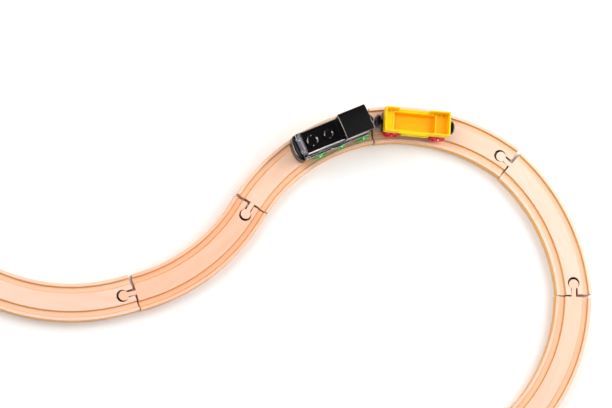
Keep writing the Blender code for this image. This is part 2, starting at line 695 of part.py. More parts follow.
def build_front(frame, plate, plate_end, paints):
    """Boiler front, headlamps and bumper."""
    front = make_object("loco_boiler_front", plate, frame, paints["lilac"])
    rounded = front.modifiers.new("rounded", "BEVEL")
    rounded.width = 0.7 * MM
    rounded.segments = 2
    rounded.limit_method = "ANGLE"
    rounded.angle_limit = math.radians(60)
    base = plate_end + TOUCH
    dome = arc((0, base), LAMP_RADIUS, 0, math.pi / 2, 6)
    profile = [(0, base)] + [(r, base + (w - base) * LAMP_LENGTH / LAMP_RADIUS) for r, w in dome]
    profile[-1] = (0, base + LAMP_LENGTH)
    lamp = turned("headlamp", profile, "X", 20)
    height = BOILER_TOP - 4 * MM
    for place, side in (("near", LAMP_OFFSET), ("far", -LAMP_OFFSET)):
        make_object(f"loco_headlamp_{place}", lamp, frame, paints["lens"], (0, side, height))
    start = LOCO_FRONT + TOUCH
    turns = [math.pi * (i / 24 - 0.5) for i in range(25)]
    plan = [(start + BUMPER_LENGTH * math.cos(t), BUMPER_HALF_WIDTH * math.sin(t)) for t in turns]
    mesh = prism("bumper", plan, "Z", FRAME_BOTTOM + 0.5 * MM, DECK - 0.4 * MM, True)
    bumper = make_object("loco_bumper", mesh, frame, paints["black"])
    rounded = bumper.modifiers.new("rounded", "BEVEL")
    rounded.width = 1 * MM
    rounded.segments = 2
    rounded.limit_method = "ANGLE"
    rounded.angle_limit = math.radians(60)


def build_buttons(frame, black):
    """Two push buttons, each held from below by its flange and reaching down to a switch."""
    flange_top = BOILER_TOP - SHELL_WALL - TOUCH
    flange_bottom = flange_top - 1.3 * MM
    stem_end = SWITCH_TOP + BUTTON_TRAVEL + TOUCH
    top = BOILER_TOP + BUTTON_PROUD
    for place, x, radius in (
        ("front", FRONT_BUTTON_X, FRONT_BUTTON_RADIUS),
        ("rear", REAR_BUTTON_X, REAR_BUTTON_RADIUS),
    ):
        flange = radius + BUTTON_FLANGE
        profile = [(0, stem_end), (2 * MM, stem_end), (2 * MM, flange_bottom), (flange, flange_bottom)]
        profile += [(flange, flange_top), (radius, flange_top), (radius, top - 0.8 * MM)]
        profile += [(radius - 0.3 * MM, top - 0.25 * MM), (radius - 0.9 * MM, top), (0, top)]
        make_object(f"loco_button_{place}", turned("button", profile, "Z", 32), frame, black, (x, 0, 0))


def build_works(frame, paints):
    """Battery, contacts, switch board, motor and gears."""
    cap = 2.5 * MM
    shoulder = 0.8 * MM
    profile = [(0, BATTERY_START), (BATTERY_RADIUS - TOUCH, BATTERY_START)]
    profile += [(BATTERY_RADIUS, BATTERY_START + TOUCH), (BATTERY_RADIUS, BATTERY_END - shoulder - TOUCH)]
    profile += [(BATTERY_RADIUS - TOUCH, BATTERY_END - shoulder), (cap, BATTERY_END - shoulder)]
    profile += [(cap, BATTERY_END), (0, BATTERY_END)]
    make_object("loco_battery", turned("battery", profile, "X", 24), frame, paints["cell"], (0, 0, BATTERY_Z))
    for place, x in (("rear", REAR_CONTACT_X), ("front", FRONT_CONTACT_X)):
        low = (x, -4 * MM, TRAY_FLOOR + TOUCH)
        high = (x + CONTACT_THICKNESS, 4 * MM, BATTERY_Z + 3 * MM)
        make_object(f"loco_contact_{place}", box("contact", low, high), frame, paints["brass"])

    half = BOILER_HALF_WIDTH - SHELL_WALL - TOUCH
    start = REAR_BUTTON_X - 7.3 * MM
    end = FRONT_BUTTON_X + 3.2 * MM
    low = (start, -half, BOARD_BOTTOM)
    high = (end, half, BOARD_BOTTOM + BOARD_THICKNESS)
    board = make_object("loco_switch_board", box("board", low, high), None, paints["board"])
    for x in (FRONT_BUTTON_X, REAR_BUTTON_X):
        low = (x - 3 * MM, -3 * MM, BOARD_BOTTOM + BOARD_THICKNESS - JOIN)
        join(board, box("switch", low, (x + 3 * MM, 3 * MM, SWITCH_TOP)))
    settle(board, frame)

    face = GEAR_SIDE - 1 * MM
    back = face - MOTOR_LENGTH
    hole = MOTOR_SHAFT_RADIUS + TOUCH
    bell = MOTOR_RADIUS - 0.5 * MM
    profile = [(0, back), (bell, back), (MOTOR_RADIUS, back + 0.5 * MM), (MOTOR_RADIUS, face - 0.5 * MM)]
    profile += [(bell, face), (hole, face), (hole, face - 2.5 * MM), (0, face - 2.5 * MM)]
    at = (MOTOR_X, 0, MOTOR_Z)
    make_object("loco_motor", turned("motor", profile, "Y", 24), frame, paints["steel"], at)

    gear_end = GEAR_SIDE + GEAR_WIDTH
    plan = gear_outline(PINION_TEETH, MOTOR_LEAN + math.pi + math.pi / PINION_TEETH)
    mesh = prism("pinion", plan, "Y", GEAR_SIDE, gear_end)
    pinion = make_object("loco_motor_pinion", mesh, None, paints["brass"])
    shaft_start = face - 2.5 * MM + TOUCH
    join(pinion, rod("shaft", MOTOR_SHAFT_RADIUS, "Y", shaft_start, GEAR_SIDE + JOIN, (0, 0), 12))
    settle(pinion, frame, at)

    side = groove_shift(LOCO_AXLE_PITCH)
    at = (-LOCO_AXLE_PITCH, side, AXLE_HEIGHT)
    plan = gear_outline(GEAR_TEETH, MOTOR_LEAN)
    mesh = prism("gear", plan, "Y", GEAR_SIDE - side, gear_end - side)
    gear = make_object("loco_axle_gear", mesh, None, paints["nylon"])
    cut(gear, rod("bore", AXLE_RADIUS + TOUCH, "Y", 0, GEAR_SIDE + GEAR_WIDTH + PAST, (0, 0)))
    settle(gear, frame, at)


def build_engine(root, paints):
    """The engine in its own frame, nose along x, its line of travel on the circle of the track."""
    at = (*(CURVE_RADIUS * unit(LOCO_ANGLE)), 0)
    frame = make_empty("loco_frame", root, at, LOCO_ANGLE + math.pi / 2)
    build_chassis(frame, paints["black"])
    plate, plate_end = build_boiler(frame, paints["black"])
    build_cab(frame, paints["black"], paints["matte"])
    build_front(frame, plate, plate_end, paints)
    build_buttons(frame, paints["black"])
    build_works(frame, paints)
    wheel = wheel_mesh("loco_wheel")
    for place, x in (("front", LOCO_AXLE_PITCH), ("middle", 0), ("rear", -LOCO_AXLE_PITCH)):
        side = groove_shift(LOCO_AXLE_PITCH) if x else 0
        add_axle("loco", place, frame, x, side, wheel, paints["green"], paints["steel"])
    add_coupler("loco", "rear", frame, -1, -LOCO_REAR, paints["black"], paints["steel"])
    bottom = FRAME_BOTTOM + SCREW_HEAD_HEIGHT + TOUCH
    add_screw("loco_screw_front", frame, FRONT_SCREW_X, bottom, LEDGE + 3 * MM, paints["steel"])
    top = SEAT + SHELL_WALL + TOUCH
    add_screw("loco_screw_rear", frame, REAR_SCREW_X, top, DECK - 6.5 * MM, paints["steel"])


# Wagon


def build_wagon_body(frame, yellow):
    """Open wagon: two raised ends, low walls in the middle and a well between the axles."""
    long = WAGON_HALF_LENGTH
    half = WAGON_HALF_WIDTH
    block = box("wagon", (-long, -half, SEAT), (long, half, WAGON_TOP))
    body = make_object("wagon_body", block, None, yellow)
    inner_long = long - WAGON_WALL
    inner_half = half - WAGON_WALL
    above = WAGON_TOP + PAST
    cut(body, box("bed", (-inner_long, -inner_half, WAGON_PLATFORM), (inner_long, inner_half, above)))
    low = (WAGON_REAR_PANEL, -half - PAST, WAGON_MIDDLE_TOP)
    cut(body, box("low_sides", low, (WAGON_FRONT_PANEL, half + PAST, above)))
    trough_bottom = TRAY_FLOOR + 1.15 * MM
    trough_half = FRAME_HALF_WIDTH
    low = (WELL_REAR - WELL_WALL, -trough_half, trough_bottom)
    join(body, box("trough", low, (WELL_FRONT + WELL_WALL, trough_half, SEAT + JOIN)))
    well_half = trough_half - WELL_WALL
    well_floor = trough_bottom + WELL_FLOOR_THICKNESS
    low = (WELL_REAR, -well_half, well_floor)
    cut(body, box("well", low, (WELL_FRONT, well_half, WAGON_PLATFORM + PAST)))
    for side in (1, -1):
        edges = sorted((side * inner_half, side * half))
        low = (-SKIRT_HALF_LENGTH, edges[0], SKIRT_BOTTOM)
        join(body, box("skirt", low, (SKIRT_HALF_LENGTH, edges[1], SEAT + JOIN)))
    post_bottom = DECK - 5.7 * MM
    for x in (WAGON_SCREW_X, -WAGON_SCREW_X):
        join(body, screw_post("post", WAGON_POST_RADIUS, post_bottom, SEAT - TOUCH, SEAT + JOIN, x))
    settle(body, frame)
    return trough_bottom, post_bottom


def build_underframe(frame, black, trough_bottom, post_bottom):
    """Frame under the wagon: two end blocks with bearings and couplers, low in the middle for the well."""
    end = WAGON_HALF_LENGTH - TOUCH
    half = FRAME_HALF_WIDTH
    mesh = box("underframe", (-end, -half, FRAME_BOTTOM), (end, half, DECK))
    under = make_object("wagon_underframe", mesh, None, black)
    gap = WELL_WALL + TOUCH
    low = (WELL_REAR - gap, -half - PAST, trough_bottom - TOUCH)
    cut(under, box("well_space", low, (WELL_FRONT + gap, half + PAST, DECK + PAST)))
    inside = WAGON_AXLE_PITCH - AXLE_RADIUS - 3 * MM
    low = (-inside, -half + FRAME_WALL, FRAME_BOTTOM - PAST)
    cut(under, box("underside", low, (inside, half - FRAME_WALL, trough_bottom - TOUCH - FRAME_WALL)))
    reach = half + PAST
    for x in (WAGON_AXLE_PITCH, -WAGON_AXLE_PITCH):
        cut(under, rod("bearing", AXLE_RADIUS + TOUCH, "Y", -reach, reach, (x, AXLE_HEIGHT)))
    head_top = FRAME_BOTTOM + SCREW_HEAD_HEIGHT + 2 * TOUCH
    levels = [
        (SCREW_HEAD_RADIUS + TOUCH, FRAME_BOTTOM - PAST, head_top),
        (SCREW_HOLE_RADIUS, head_top, post_bottom - TOUCH),
        (WAGON_POST_RADIUS + TOUCH, post_bottom - TOUCH, DECK + PAST),
    ]
    for x in (WAGON_SCREW_X, -WAGON_SCREW_X):
        cut(under, stepped("screw_hole", levels, x))
    for facing in (1, -1):
        cut(under, stem_hole(end, facing))
    settle(under, frame)


def build_wagon(root, paints):
    """The wagon behind the engine, on the circle of piece d, placed so that the two magnets meet."""
    circle = chain_layout()["d"][0]
    engine_edge = CURVE_RADIUS - MAGNET_FLAT_RADIUS
    lean = math.atan(COUPLER_REACH / engine_edge)
    meeting = math.hypot(engine_edge, COUPLER_REACH) * unit(LOCO_ANGLE - lean) - circle
    inward = CURVE_RADIUS - groove_shift(WAGON_AXLE_PITCH)
    lean = math.atan((COUPLER_REACH + TOUCH) / (inward - MAGNET_FLAT_RADIUS))
    angle = math.atan2(meeting.y, meeting.x) - lean
    at = (*(circle + inward * unit(angle)), 0)
    frame = make_empty("wagon_frame", root, at, angle + math.pi / 2)
    trough_bottom, post_bottom = build_wagon_body(frame, paints["yellow"])
    build_underframe(frame, paints["black"], trough_bottom, post_bottom)
    wheel = wheel_mesh("wagon_wheel")
    for place, x in (("front", WAGON_AXLE_PITCH), ("rear", -WAGON_AXLE_PITCH)):
        add_axle("wagon", place, frame, x, 0, wheel, paints["red"], paints["steel"])
    end = WAGON_HALF_LENGTH - TOUCH
    for place, facing in (("front", 1), ("rear", -1)):
        add_coupler("wagon", place, frame, facing, end, paints["black"], paints["steel"])
        seat = FRAME_BOTTOM + SCREW_HEAD_HEIGHT + TOUCH
        tip = DECK - 1 * MM
        add_screw(f"wagon_screw_{place}", frame, facing * WAGON_SCREW_X, seat, tip, paints["steel"])


def centre_over_origin(root):
    """Move the whole set so that the middle of its bounding box stands over the origin."""
    bpy.context.view_layer.update()
    ready = bpy.context.evaluated_depsgraph_get()
    points = []
    for found in bpy.context.scene.objects:
        if found.type == "MESH" and not found.hide_render:
            shape = found.evaluated_get(ready)
            points += [found.matrix_world @ vert.co for vert in shape.data.vertices]
    for i in range(2):
        places = [point[i] for point in points]
        root.location[i] = -(min(places) + max(places)) / 2
    bpy.context.view_layer.update()


def build():
    """Make the whole set."""
    clear_scene()
    paints = {
        "black": make_material("gloss_black", (0.013, 0.011, 0.012), 0.25),
        "matte": make_material("matte_black", (0.012, 0.012, 0.013), 0.7),
        "lilac": make_material("lilac_grey", (0.28, 0.25, 0.31), 0.3),
        "lens": make_material("clear_lens", (0.85, 0.87, 0.9), 0.1),
        "green": make_material("green", (0.0, 0.35, 0.05), 0.3),
        "red": make_material("red", (0.7, 0.0, 0.01), 0.3),
        "yellow": make_material("yellow", (1.0, 0.63, 0.0), 0.35),
        "steel": make_material("steel", (0.55, 0.55, 0.57), 0.3, 1.0),
        "brass": make_material("brass", (0.75, 0.55, 0.25), 0.35, 1.0),
        "nylon": make_material("nylon", (0.85, 0.85, 0.82), 0.5),
        "cell": make_material("cell_jacket", (0.25, 0.27, 0.3), 0.4),
        "board": make_material("circuit_board", (0.02, 0.2, 0.07), 0.5),
    }
    root = make_empty("train_set")
    build_track(root, make_material("beech", (0.8, 0.55, 0.36), 0.6))
    build_engine(root, paints)
    build_wagon(root, paints)
    centre_over_origin(root)


build()
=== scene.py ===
# %% [markdown]
# # A toy train on wooden track
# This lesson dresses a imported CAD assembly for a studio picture. The CAD nodes stay where they are and
# keep every joint. Over them go smooth surfaces made with numpy: swept sections, turned profiles and
# plates with rounded edges. Each surface rides on the CAD body that it covers, so the train still runs on
# its track.

# %% Imports and the frame
import json
import math

import bpy
import numpy as np
from mathutils import Matrix, Vector


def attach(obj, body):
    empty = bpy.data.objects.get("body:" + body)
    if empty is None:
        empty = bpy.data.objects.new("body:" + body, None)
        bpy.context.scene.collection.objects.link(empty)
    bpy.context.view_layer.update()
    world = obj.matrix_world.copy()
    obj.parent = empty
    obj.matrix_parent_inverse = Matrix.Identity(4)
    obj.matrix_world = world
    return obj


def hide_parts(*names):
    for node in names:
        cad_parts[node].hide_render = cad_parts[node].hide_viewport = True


MM = 0.001
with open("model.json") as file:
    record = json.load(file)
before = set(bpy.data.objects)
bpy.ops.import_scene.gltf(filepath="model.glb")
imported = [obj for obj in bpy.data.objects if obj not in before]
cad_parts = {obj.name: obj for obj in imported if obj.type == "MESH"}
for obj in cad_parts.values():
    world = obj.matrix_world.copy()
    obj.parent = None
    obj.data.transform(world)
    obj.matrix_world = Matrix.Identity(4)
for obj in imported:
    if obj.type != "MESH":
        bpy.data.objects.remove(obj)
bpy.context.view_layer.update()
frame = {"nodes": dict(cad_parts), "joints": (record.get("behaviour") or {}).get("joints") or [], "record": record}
nodes = frame["nodes"]
joints = {joint["name"]: joint for joint in frame["joints"]}
print(f"frame: {len(nodes)} CAD nodes, {len(joints)} joints")

# %% [markdown]
# ## Frames to model in
# Modelling is easier when x points forward and z up. A vehicle's frame could be typed in, but its wheel
# joints already hold it, and so it follows the CAD. The joint's axis is the y axis, and the middle of the
# axles, brought down to the floor, is the origin. A 4 by 4 matrix then takes local points to the scene.

# %% Vehicle frames


def frame_matrix(origin, y_axis):
    """Matrix whose columns are x = y cross z, y, z and the origin."""
    y = Vector(y_axis).normalized()
    z = Vector((0, 0, 1))
    x = y.cross(z)
    matrix = Matrix((x, y, z)).transposed().to_4x4()
    matrix.translation = origin
    return matrix


def axle_middle(names):
    """Mean of the joint positions, on the floor."""
    mean = np.mean([joints[name]["pos_m"] for name in names], axis=0)
    return Vector((mean[0], mean[1], 0))


LOCO_JOINT = "loco_middle_wheels_turn"
WAGON_JOINTS = ["wagon_front_wheels_turn", "wagon_rear_wheels_turn"]
LOCO = frame_matrix(axle_middle([LOCO_JOINT]), joints[LOCO_JOINT]["axis"])
WAGON = frame_matrix(axle_middle(WAGON_JOINTS), joints[WAGON_JOINTS[0]]["axis"])
CIRCLE = Vector(joints["loco_travel"]["pos_m"])
print(f"engine to wagon: {1000 * (LOCO.translation - WAGON.translation).length:.1f} mm")

# %% [markdown]
# ## Surfaces from numpy
# Blender's own shapes and bevels could make these pieces, but a formula keeps every edge where it is
# wanted. Three recipes make nearly every piece.
# - A **plate** draws an outline out along an axis. Near each end the outline shrinks along a quarter
#   circle, which rounds the edge: at angle t it is inset by e(1 - sin t) at a depth of e(1 - cos t).
# - A **turned** piece spins a profile of (radius, place) points round an axis.
# - **Rounded corners** replace a corner by an arc that touches both sides.

# %% Outlines


def circle(turns):
    """Points (cos t, sin t) of the unit circle."""
    return np.stack((np.cos(turns), np.sin(turns)), -1)


def rounded(points, radii, steps):
    """Outline with each corner replaced by an arc that touches both sides.

    With h half the corner's angle, the arc starts r / tan h along each side, and its centre lies r / sin h
    from the corner, on the line that halves the angle.
    """
    points = np.asarray(points, float)
    count = len(points)
    radii = np.broadcast_to(np.asarray(radii, float), (count,))
    out = []
    for i, here in enumerate(points):
        if radii[i] <= 0:
            out.append(here)
            continue
        back = points[i - 1] - here
        ahead = points[(i + 1) % count] - here
        back_length = np.linalg.norm(back)
        ahead_length = np.linalg.norm(ahead)
        cosine = back @ ahead / (back_length * ahead_length)
        half = math.acos(max(-1.0, min(1.0, cosine))) / 2
        reach = min(radii[i] / math.tan(half), 0.49 * back_length, 0.49 * ahead_length)
        start = here + back / back_length * reach
        end = here + ahead / ahead_length * reach
        radius = reach * math.tan(half)
        middle = (start + end) / 2 - here
        centre = here + middle / np.linalg.norm(middle) * math.hypot(reach, radius)
        first = math.atan2(*(start - centre)[::-1])
        turn = math.atan2(*(end - centre)[::-1]) - first
        turn = (turn + math.pi) % math.tau - math.pi
        out.extend(centre + radius * circle(np.linspace(first, first + turn, steps + 1)))
    return np.array(out)


def inset(outline, distance):
    """Outline moved inward: each point goes along the mean of its two edge normals, scaled for the corner."""
    following = np.roll(outline, -1, 0)
    ahead = following - outline
    ahead /= np.maximum(np.linalg.norm(ahead, axis=1, keepdims=True), 1e-12)
    back = np.roll(ahead, 1, 0)
    area = 0.5 * np.sum(outline[:, 0] * following[:, 1] - outline[:, 1] * following[:, 0])
    sign = 1.0 if area > 0 else -1.0
    normal = sign * np.stack((-(ahead + back)[:, 1], (ahead + back)[:, 0]), 1)
    normal /= np.maximum(np.linalg.norm(normal, axis=1, keepdims=True), 1e-12)
    side = sign * np.stack((-ahead[:, 1], ahead[:, 0]), 1)
    scale = np.clip(np.sum(normal * side, 1, keepdims=True), 0.35, 1.0)
    return outline + normal * distance / scale


def box_outline(a0, a1, b0, b1, radius, steps=4):
    """Rectangle with rounded corners."""
    return rounded([(a0, b0), (a1, b0), (a1, b1), (a0, b1)], radius, steps)


# %% Solids


def skin(index, closed=False):
    """Faces between neighbouring rows of point numbers. A point that a face meets twice is kept once."""
    low = index if closed else index[:-1]
    high = np.roll(index, -1, 0)[: len(low)]
    quads = np.stack((low, np.roll(low, -1, 1), np.roll(high, -1, 1), high), -1).reshape(-1, 4)
    return [tuple(dict.fromkeys(quad)) for quad in quads.tolist()]


def loft(rings):
    """Closed surface through rings of equal length, with a flat face on the first and the last ring."""
    rings = np.asarray(rings, float)
    count, length = rings.shape[:2]
    index = np.arange(count * length).reshape(count, length)
    caps = [tuple(index[0][::-1].tolist()), tuple(index[-1].tolist())]
    return rings.reshape(-1, 3), skin(index) + caps


def axes_points(axis, outline, place):
    """Points of an outline at a place along an axis. The outline's own axes follow in x, y, z order."""
    first, second = outline[:, 0], outline[:, 1]
    along = np.broadcast_to(place, len(outline))
    columns = {"x": (along, first, second), "y": (first, along, second), "z": (first, second, along)}
    return np.stack(columns[axis], 1)


def edge_stations(end, inward, edge, steps):
    """(place, inset) pairs of a quarter-circle edge, from the end inward. A sharp edge has only one."""
    turns = np.linspace(0, math.pi / 2, steps + 1) if edge else [0.0]
    return [(end + inward * edge * (1 - math.cos(t)), edge * (1 - math.sin(t))) for t in turns]


def plate(axis, outline, low, high, low_edge=0.0, high_edge=0.0, steps=4, between=0):
    """Outline drawn from low to high along an axis, with quarter-circle edges."""
    start = low + low_edge
    step = (high - high_edge - start) / (between + 1)
    stations = edge_stations(low, 1, low_edge, steps)
    stations += [(start + step * i, 0.0) for i in range(1, between + 1)]
    stations += edge_stations(high, -1, high_edge, steps)[::-1]
    return loft([axes_points(axis, inset(outline, shrink), place) for place, shrink in stations])


def turned(axis, profile, centre=(0, 0, 0), count=64):
    """Profile of (radius, place) points spun round an axis: at angle u the ring is (r cos u, r sin u).

    A radius of 0 makes a pole, which is one point. A profile without a pole at either end closes on itself.
    """
    radius, place = np.asarray(profile, float).T
    pole = radius <= 0
    step = np.arange(count)
    sizes = np.where(pole, 1, count)
    first = np.cumsum(sizes) - sizes
    index = first[:, None] + np.where(pole[:, None], 0, step)
    kept = ~pole[:, None] | (step == 0)
    points = (radius[:, None, None] * circle(step * math.tau / count))[kept]
    along = np.broadcast_to(place[:, None], kept.shape)[kept]
    faces = skin(index, closed=not (pole[0] or pole[-1]))
    return axes_points(axis, points, along) + np.asarray(centre, float), faces


# %% [markdown]
# ## From arrays to pieces
# A finished piece sits at the origin with its place in its mesh, as a CAD node does. So the local points
# go through the frame's matrix before the mesh is made. Holes are cut with exact booleans, and each piece
# then says which body it rides on and which CAD nodes it stands for.

# %% Objects

SHARP = 32
made = []


def raw_object(name, part, matrix):
    """Mesh object with its points already in the scene, and its faces pointing outwards."""
    verts, faces = part
    world = np.asarray(verts, float) @ np.array(matrix.to_3x3()).T + np.array(matrix.translation)
    mesh = bpy.data.meshes.new(name)
    mesh.from_pydata(world.tolist(), [], faces)
    mesh.validate()
    obj = bpy.data.objects.new(name, mesh)
    bpy.context.scene.collection.objects.link(obj)
    bpy.ops.object.select_all(action="DESELECT")
    obj.select_set(True)
    bpy.context.view_layer.objects.active = obj
    bpy.ops.object.mode_set(mode="EDIT")
    bpy.ops.mesh.select_all(action="SELECT")
    bpy.ops.mesh.normals_make_consistent(inside=False)
    bpy.ops.object.mode_set(mode="OBJECT")
    return obj


def bake(obj):
    """Replace the mesh by what the modifiers make of it."""
    ready = obj.evaluated_get(bpy.context.evaluated_depsgraph_get())
    mesh = bpy.data.meshes.new_from_object(ready)
    obj.modifiers.clear()
    obj.data = mesh


def boolean(obj, parts, matrix, operation="DIFFERENCE"):
    """Cut each part, a (verts, faces) pair in the same local frame, out of the object, or unite it."""
    for part in parts:
        tool = raw_object(obj.name + "_tool", part, matrix)
        step = obj.modifiers.new("tool", "BOOLEAN")
        step.operation = operation
        step.solver = "EXACT"
        step.object = tool
        bake(obj)
        bpy.data.objects.remove(tool)


def join_into(obj, other):
    """Add the other object's mesh to this one."""
    bpy.ops.object.select_all(action="DESELECT")
    other.select_set(True)
    obj.select_set(True)
    bpy.context.view_layer.objects.active = obj
    bpy.ops.object.join()


def dress(obj, body, material, stands_for=(), angle=SHARP):
    """Shade smooth except at sharp edges, give the material, and ride on a CAD body."""
    mesh = obj.data
    mesh.materials.clear()
    mesh.materials.append(material)
    mesh.shade_smooth()
    mesh.set_sharp_from_angle(angle=math.radians(angle))
    normals = obj.modifiers.new("face weights", "WEIGHTED_NORMAL")
    normals.keep_sharp = True
    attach(obj, body)
    if stands_for:
        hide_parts(*stands_for)
    made.append(obj.name)
    return obj


def piece(name, part, matrix, body, material, stands_for=(), cuts=()):
    """One finished piece: mesh, cuts, shading, material and body."""
    obj = raw_object(name, part, matrix)
    boolean(obj, cuts, matrix)
    return dress(obj, body, material, stands_for)


def tally(step):
    """Print how many pieces there are after a step."""
    print(f"{step}: {len(made)} pieces so far")


def local_points(obj, matrix):
    """Every point of the mesh, in the frame of the matrix."""
    points = np.empty(len(obj.data.vertices) * 3, np.float32)
    obj.data.vertices.foreach_get("co", points)
    return (points.reshape(-1, 3) - np.array(matrix.translation)) @ np.array(matrix.to_3x3())


def store(obj, label, values):
    """Attribute with one number, or one vector, for each point."""
    kind, key = ("FLOAT", "value") if values.ndim == 1 else ("FLOAT_VECTOR", "vector")
    layer = obj.data.attributes.new(label, kind, "POINT")
    layer.data.foreach_set(key, values.astype(np.float32).ravel())


# %% [markdown]
# ## Shader maths that reads like maths
# Nodes could be added and linked one by one, but a formula is easier to follow. `Wire` wraps one output
# socket. Its operators add Math nodes, and `node` adds any other node by name.

# %% Shader helper


class Wire:
    """One output socket of a node tree, with arithmetic."""

    def __init__(self, tree, socket):
        self.tree = tree
        self.socket = socket

    def node(self, kind, inputs=None, output=0, **settings):
        """Add a node, fill its inputs by name or number, and return a wire from one output."""
        made_node = self.tree.nodes.new(kind)
        for key, value in settings.items():
            setattr(made_node, key, value)
        for key, value in (inputs or {}).items():
            if isinstance(value, Wire):
                self.tree.links.new(value.socket, made_node.inputs[key])
            else:
                made_node.inputs[key].default_value = value
        return Wire(self.tree, made_node.outputs[output])

    def maths(self, operation, a, b=0.0):
        return self.node("ShaderNodeMath", {0: a, 1: b}, operation=operation)

    def __add__(self, other):
        return self.maths("ADD", self, other)

    __radd__ = __add__

    def __sub__(self, other):
        return self.maths("SUBTRACT", self, other)

    def __rsub__(self, other):
        return self.maths("SUBTRACT", other, self)

    def __mul__(self, other):
        return self.maths("MULTIPLY", self, other)

    __rmul__ = __mul__

    def size(self):
        """The value without its sign."""
        return self.maths("ABSOLUTE", self)

    def ramp(self, low, high):
        """0 below low, 1 above high, smooth between."""
        inputs = {"Value": self, "From Min": low, "From Max": high}
        return self.node("ShaderNodeMapRange", inputs, interpolation_type="SMOOTHSTEP")

    def between(self, first, second):
        """Colour mix: first where this is 0, second where it is 1."""
        inputs = {"Factor": self, 6: first, 7: second}
        return self.node("ShaderNodeMix", inputs, output=2, data_type="RGBA")

    def noise(self, scale, detail, rough):
        """Noise at this point, from 0 to 1."""
        inputs = {"Vector": self, "Scale": scale, "Detail": detail, "Roughness": rough}
        return self.node("ShaderNodeTexNoise", inputs)

    def stretched(self, scale):
        """This point with each axis scaled."""
        return self.node("ShaderNodeMapping", {"Vector": self, "Scale": scale})

    def attribute(self, name, output=2):
        """Stored attribute of the mesh: output 1 is its vector, output 2 its number."""
        return self.node("ShaderNodeAttribute", output=output, attribute_name=name)


def rgba(colour):
    """Linear colour with full alpha, from 0 to 255 display values."""
    share = np.asarray(colour, float) / 255
    linear = np.where(share <= 0.04045, share / 12.92, ((share + 0.055) / 1.055) ** 2.4)
    return (*linear.tolist(), 1.0)


def shaded(colour, shares):
    """Colour with each channel scaled, none above 1."""
    return tuple(min(1.0, c * share) for c, share in zip(colour, shares)) + (1.0,)


def start_material(name):
    """Empty Principled material: its shader node and a first wire, the object coordinates."""
    material = bpy.data.materials.new(name)
    material.use_nodes = True
    tree = material.node_tree
    shader = tree.nodes["Principled BSDF"]
    coordinates = tree.nodes.new("ShaderNodeTexCoord")
    return material, shader, Wire(tree, coordinates.outputs["Object"])


def feed(wire, shader, **inputs):
    """Link wires to the shader's inputs and set plain values. Underscores in names stand for spaces."""
    for key, value in inputs.items():
        socket = shader.inputs[key.replace("_", " ")]
        if isinstance(value, Wire):
            wire.tree.links.new(value.socket, socket)
        else:
            socket.default_value = value


# %% [markdown]
# ## Wood
# Each piece of track was sawn from a straight board, so its grain runs straight while the piece curves.
# Every wood mesh carries a `grain` attribute, its points in the frame of that board, and three weights:
# `groove_shade_and_cut` is high on the walls of a groove and low on its floor, `joint_shade` is high inside
# a joint, and `rim` is 1 beyond the outer groove. Groove walls get amber that is partly router cut and
# partly painted shade. Groove floors and sawn sides get painted shade, joints get painted shade, and the
# outer rims, paler on pieces c to f, get painted light. A photograph of wood would carry one board's grain
# to all six pieces, while noise on `grain` gives each its own: short dark flecks and broad pale bands.

# %% Wood material


def wood(name, face, rim):
    """Beech: faint bands, flecks and pores, groove walls amber from router cut and painted shade, painted light on
    rims, painted shade in joints.
    """
    material, shader, point = start_material(name)
    grain = point.attribute("grain", 1)
    depth = point.attribute("groove_shade_and_cut")
    bands = grain.stretched((6, 60, 60)).noise(2.2, 3, 0.55)
    fibres = grain.stretched((40, 900, 900)).noise(1.0, 3, 0.6)
    flecks = grain.stretched((330, 2600, 2600)).noise(1.0, 1, 0.5).ramp(0.62, 0.74)
    tone = (0.6 * bands + 0.4 * fibres).ramp(0.3, 0.7)
    colour = tone.between(shaded(face, (0.97, 0.93, 0.89)), shaded(face, (1.02, 1.03, 1.04)))
    colour = (flecks * 0.3).between(colour, shaded(face, (0.82, 0.7, 0.58)))
    # Painted light: the outer rim is paler on the pieces on the right.
    colour = point.attribute("rim").between(colour, rim)
    # Router cut and painted shade: amber on the groove walls and, at a lower weight, on the sawn sides.
    amber = fibres.ramp(0.3, 0.7)
    walls = amber.between(shaded(face, (0.85, 0.58, 0.13)), shaded(face, (0.93, 0.67, 0.2)))
    # Painted shade: a slight tint on the groove floors, then the amber of the walls.
    colour = depth.ramp(0.0, 0.2).between(colour, shaded(face, (1.0, 0.95, 0.8)))
    colour = depth.ramp(0.15, 0.85).between(colour, walls)
    # Painted shade: near black inside the joints.
    colour = point.attribute("joint_shade").between(colour, shaded(face, (0.14, 0.05, 0.02)))
    height = 0.6 * fibres - 0.5 * flecks
    bump = point.node("ShaderNodeBump", {"Height": height, "Strength": 0.1, "Distance": 0.2 * MM})
    feed(point, shader, Base_Color=colour, Roughness=0.5 + 0.14 * fibres, Normal=bump)
    feed(point, shader, Specular_IOR_Level=0.12)
    return material


# %% [markdown]
# ## Track
# The pieces lie on circles of one radius. Going outward from the piece under the engine, each joint has
# swung a few degrees about its peg head and has been pulled out to its stop. The pull is half the width
# times the tangent of the widest swing, and a little air, so that no inner corners bind. The places could
# be read from the CAD meshes, but a few sizes and angles give them again and tell how the track was laid.

# %% Where each piece lies

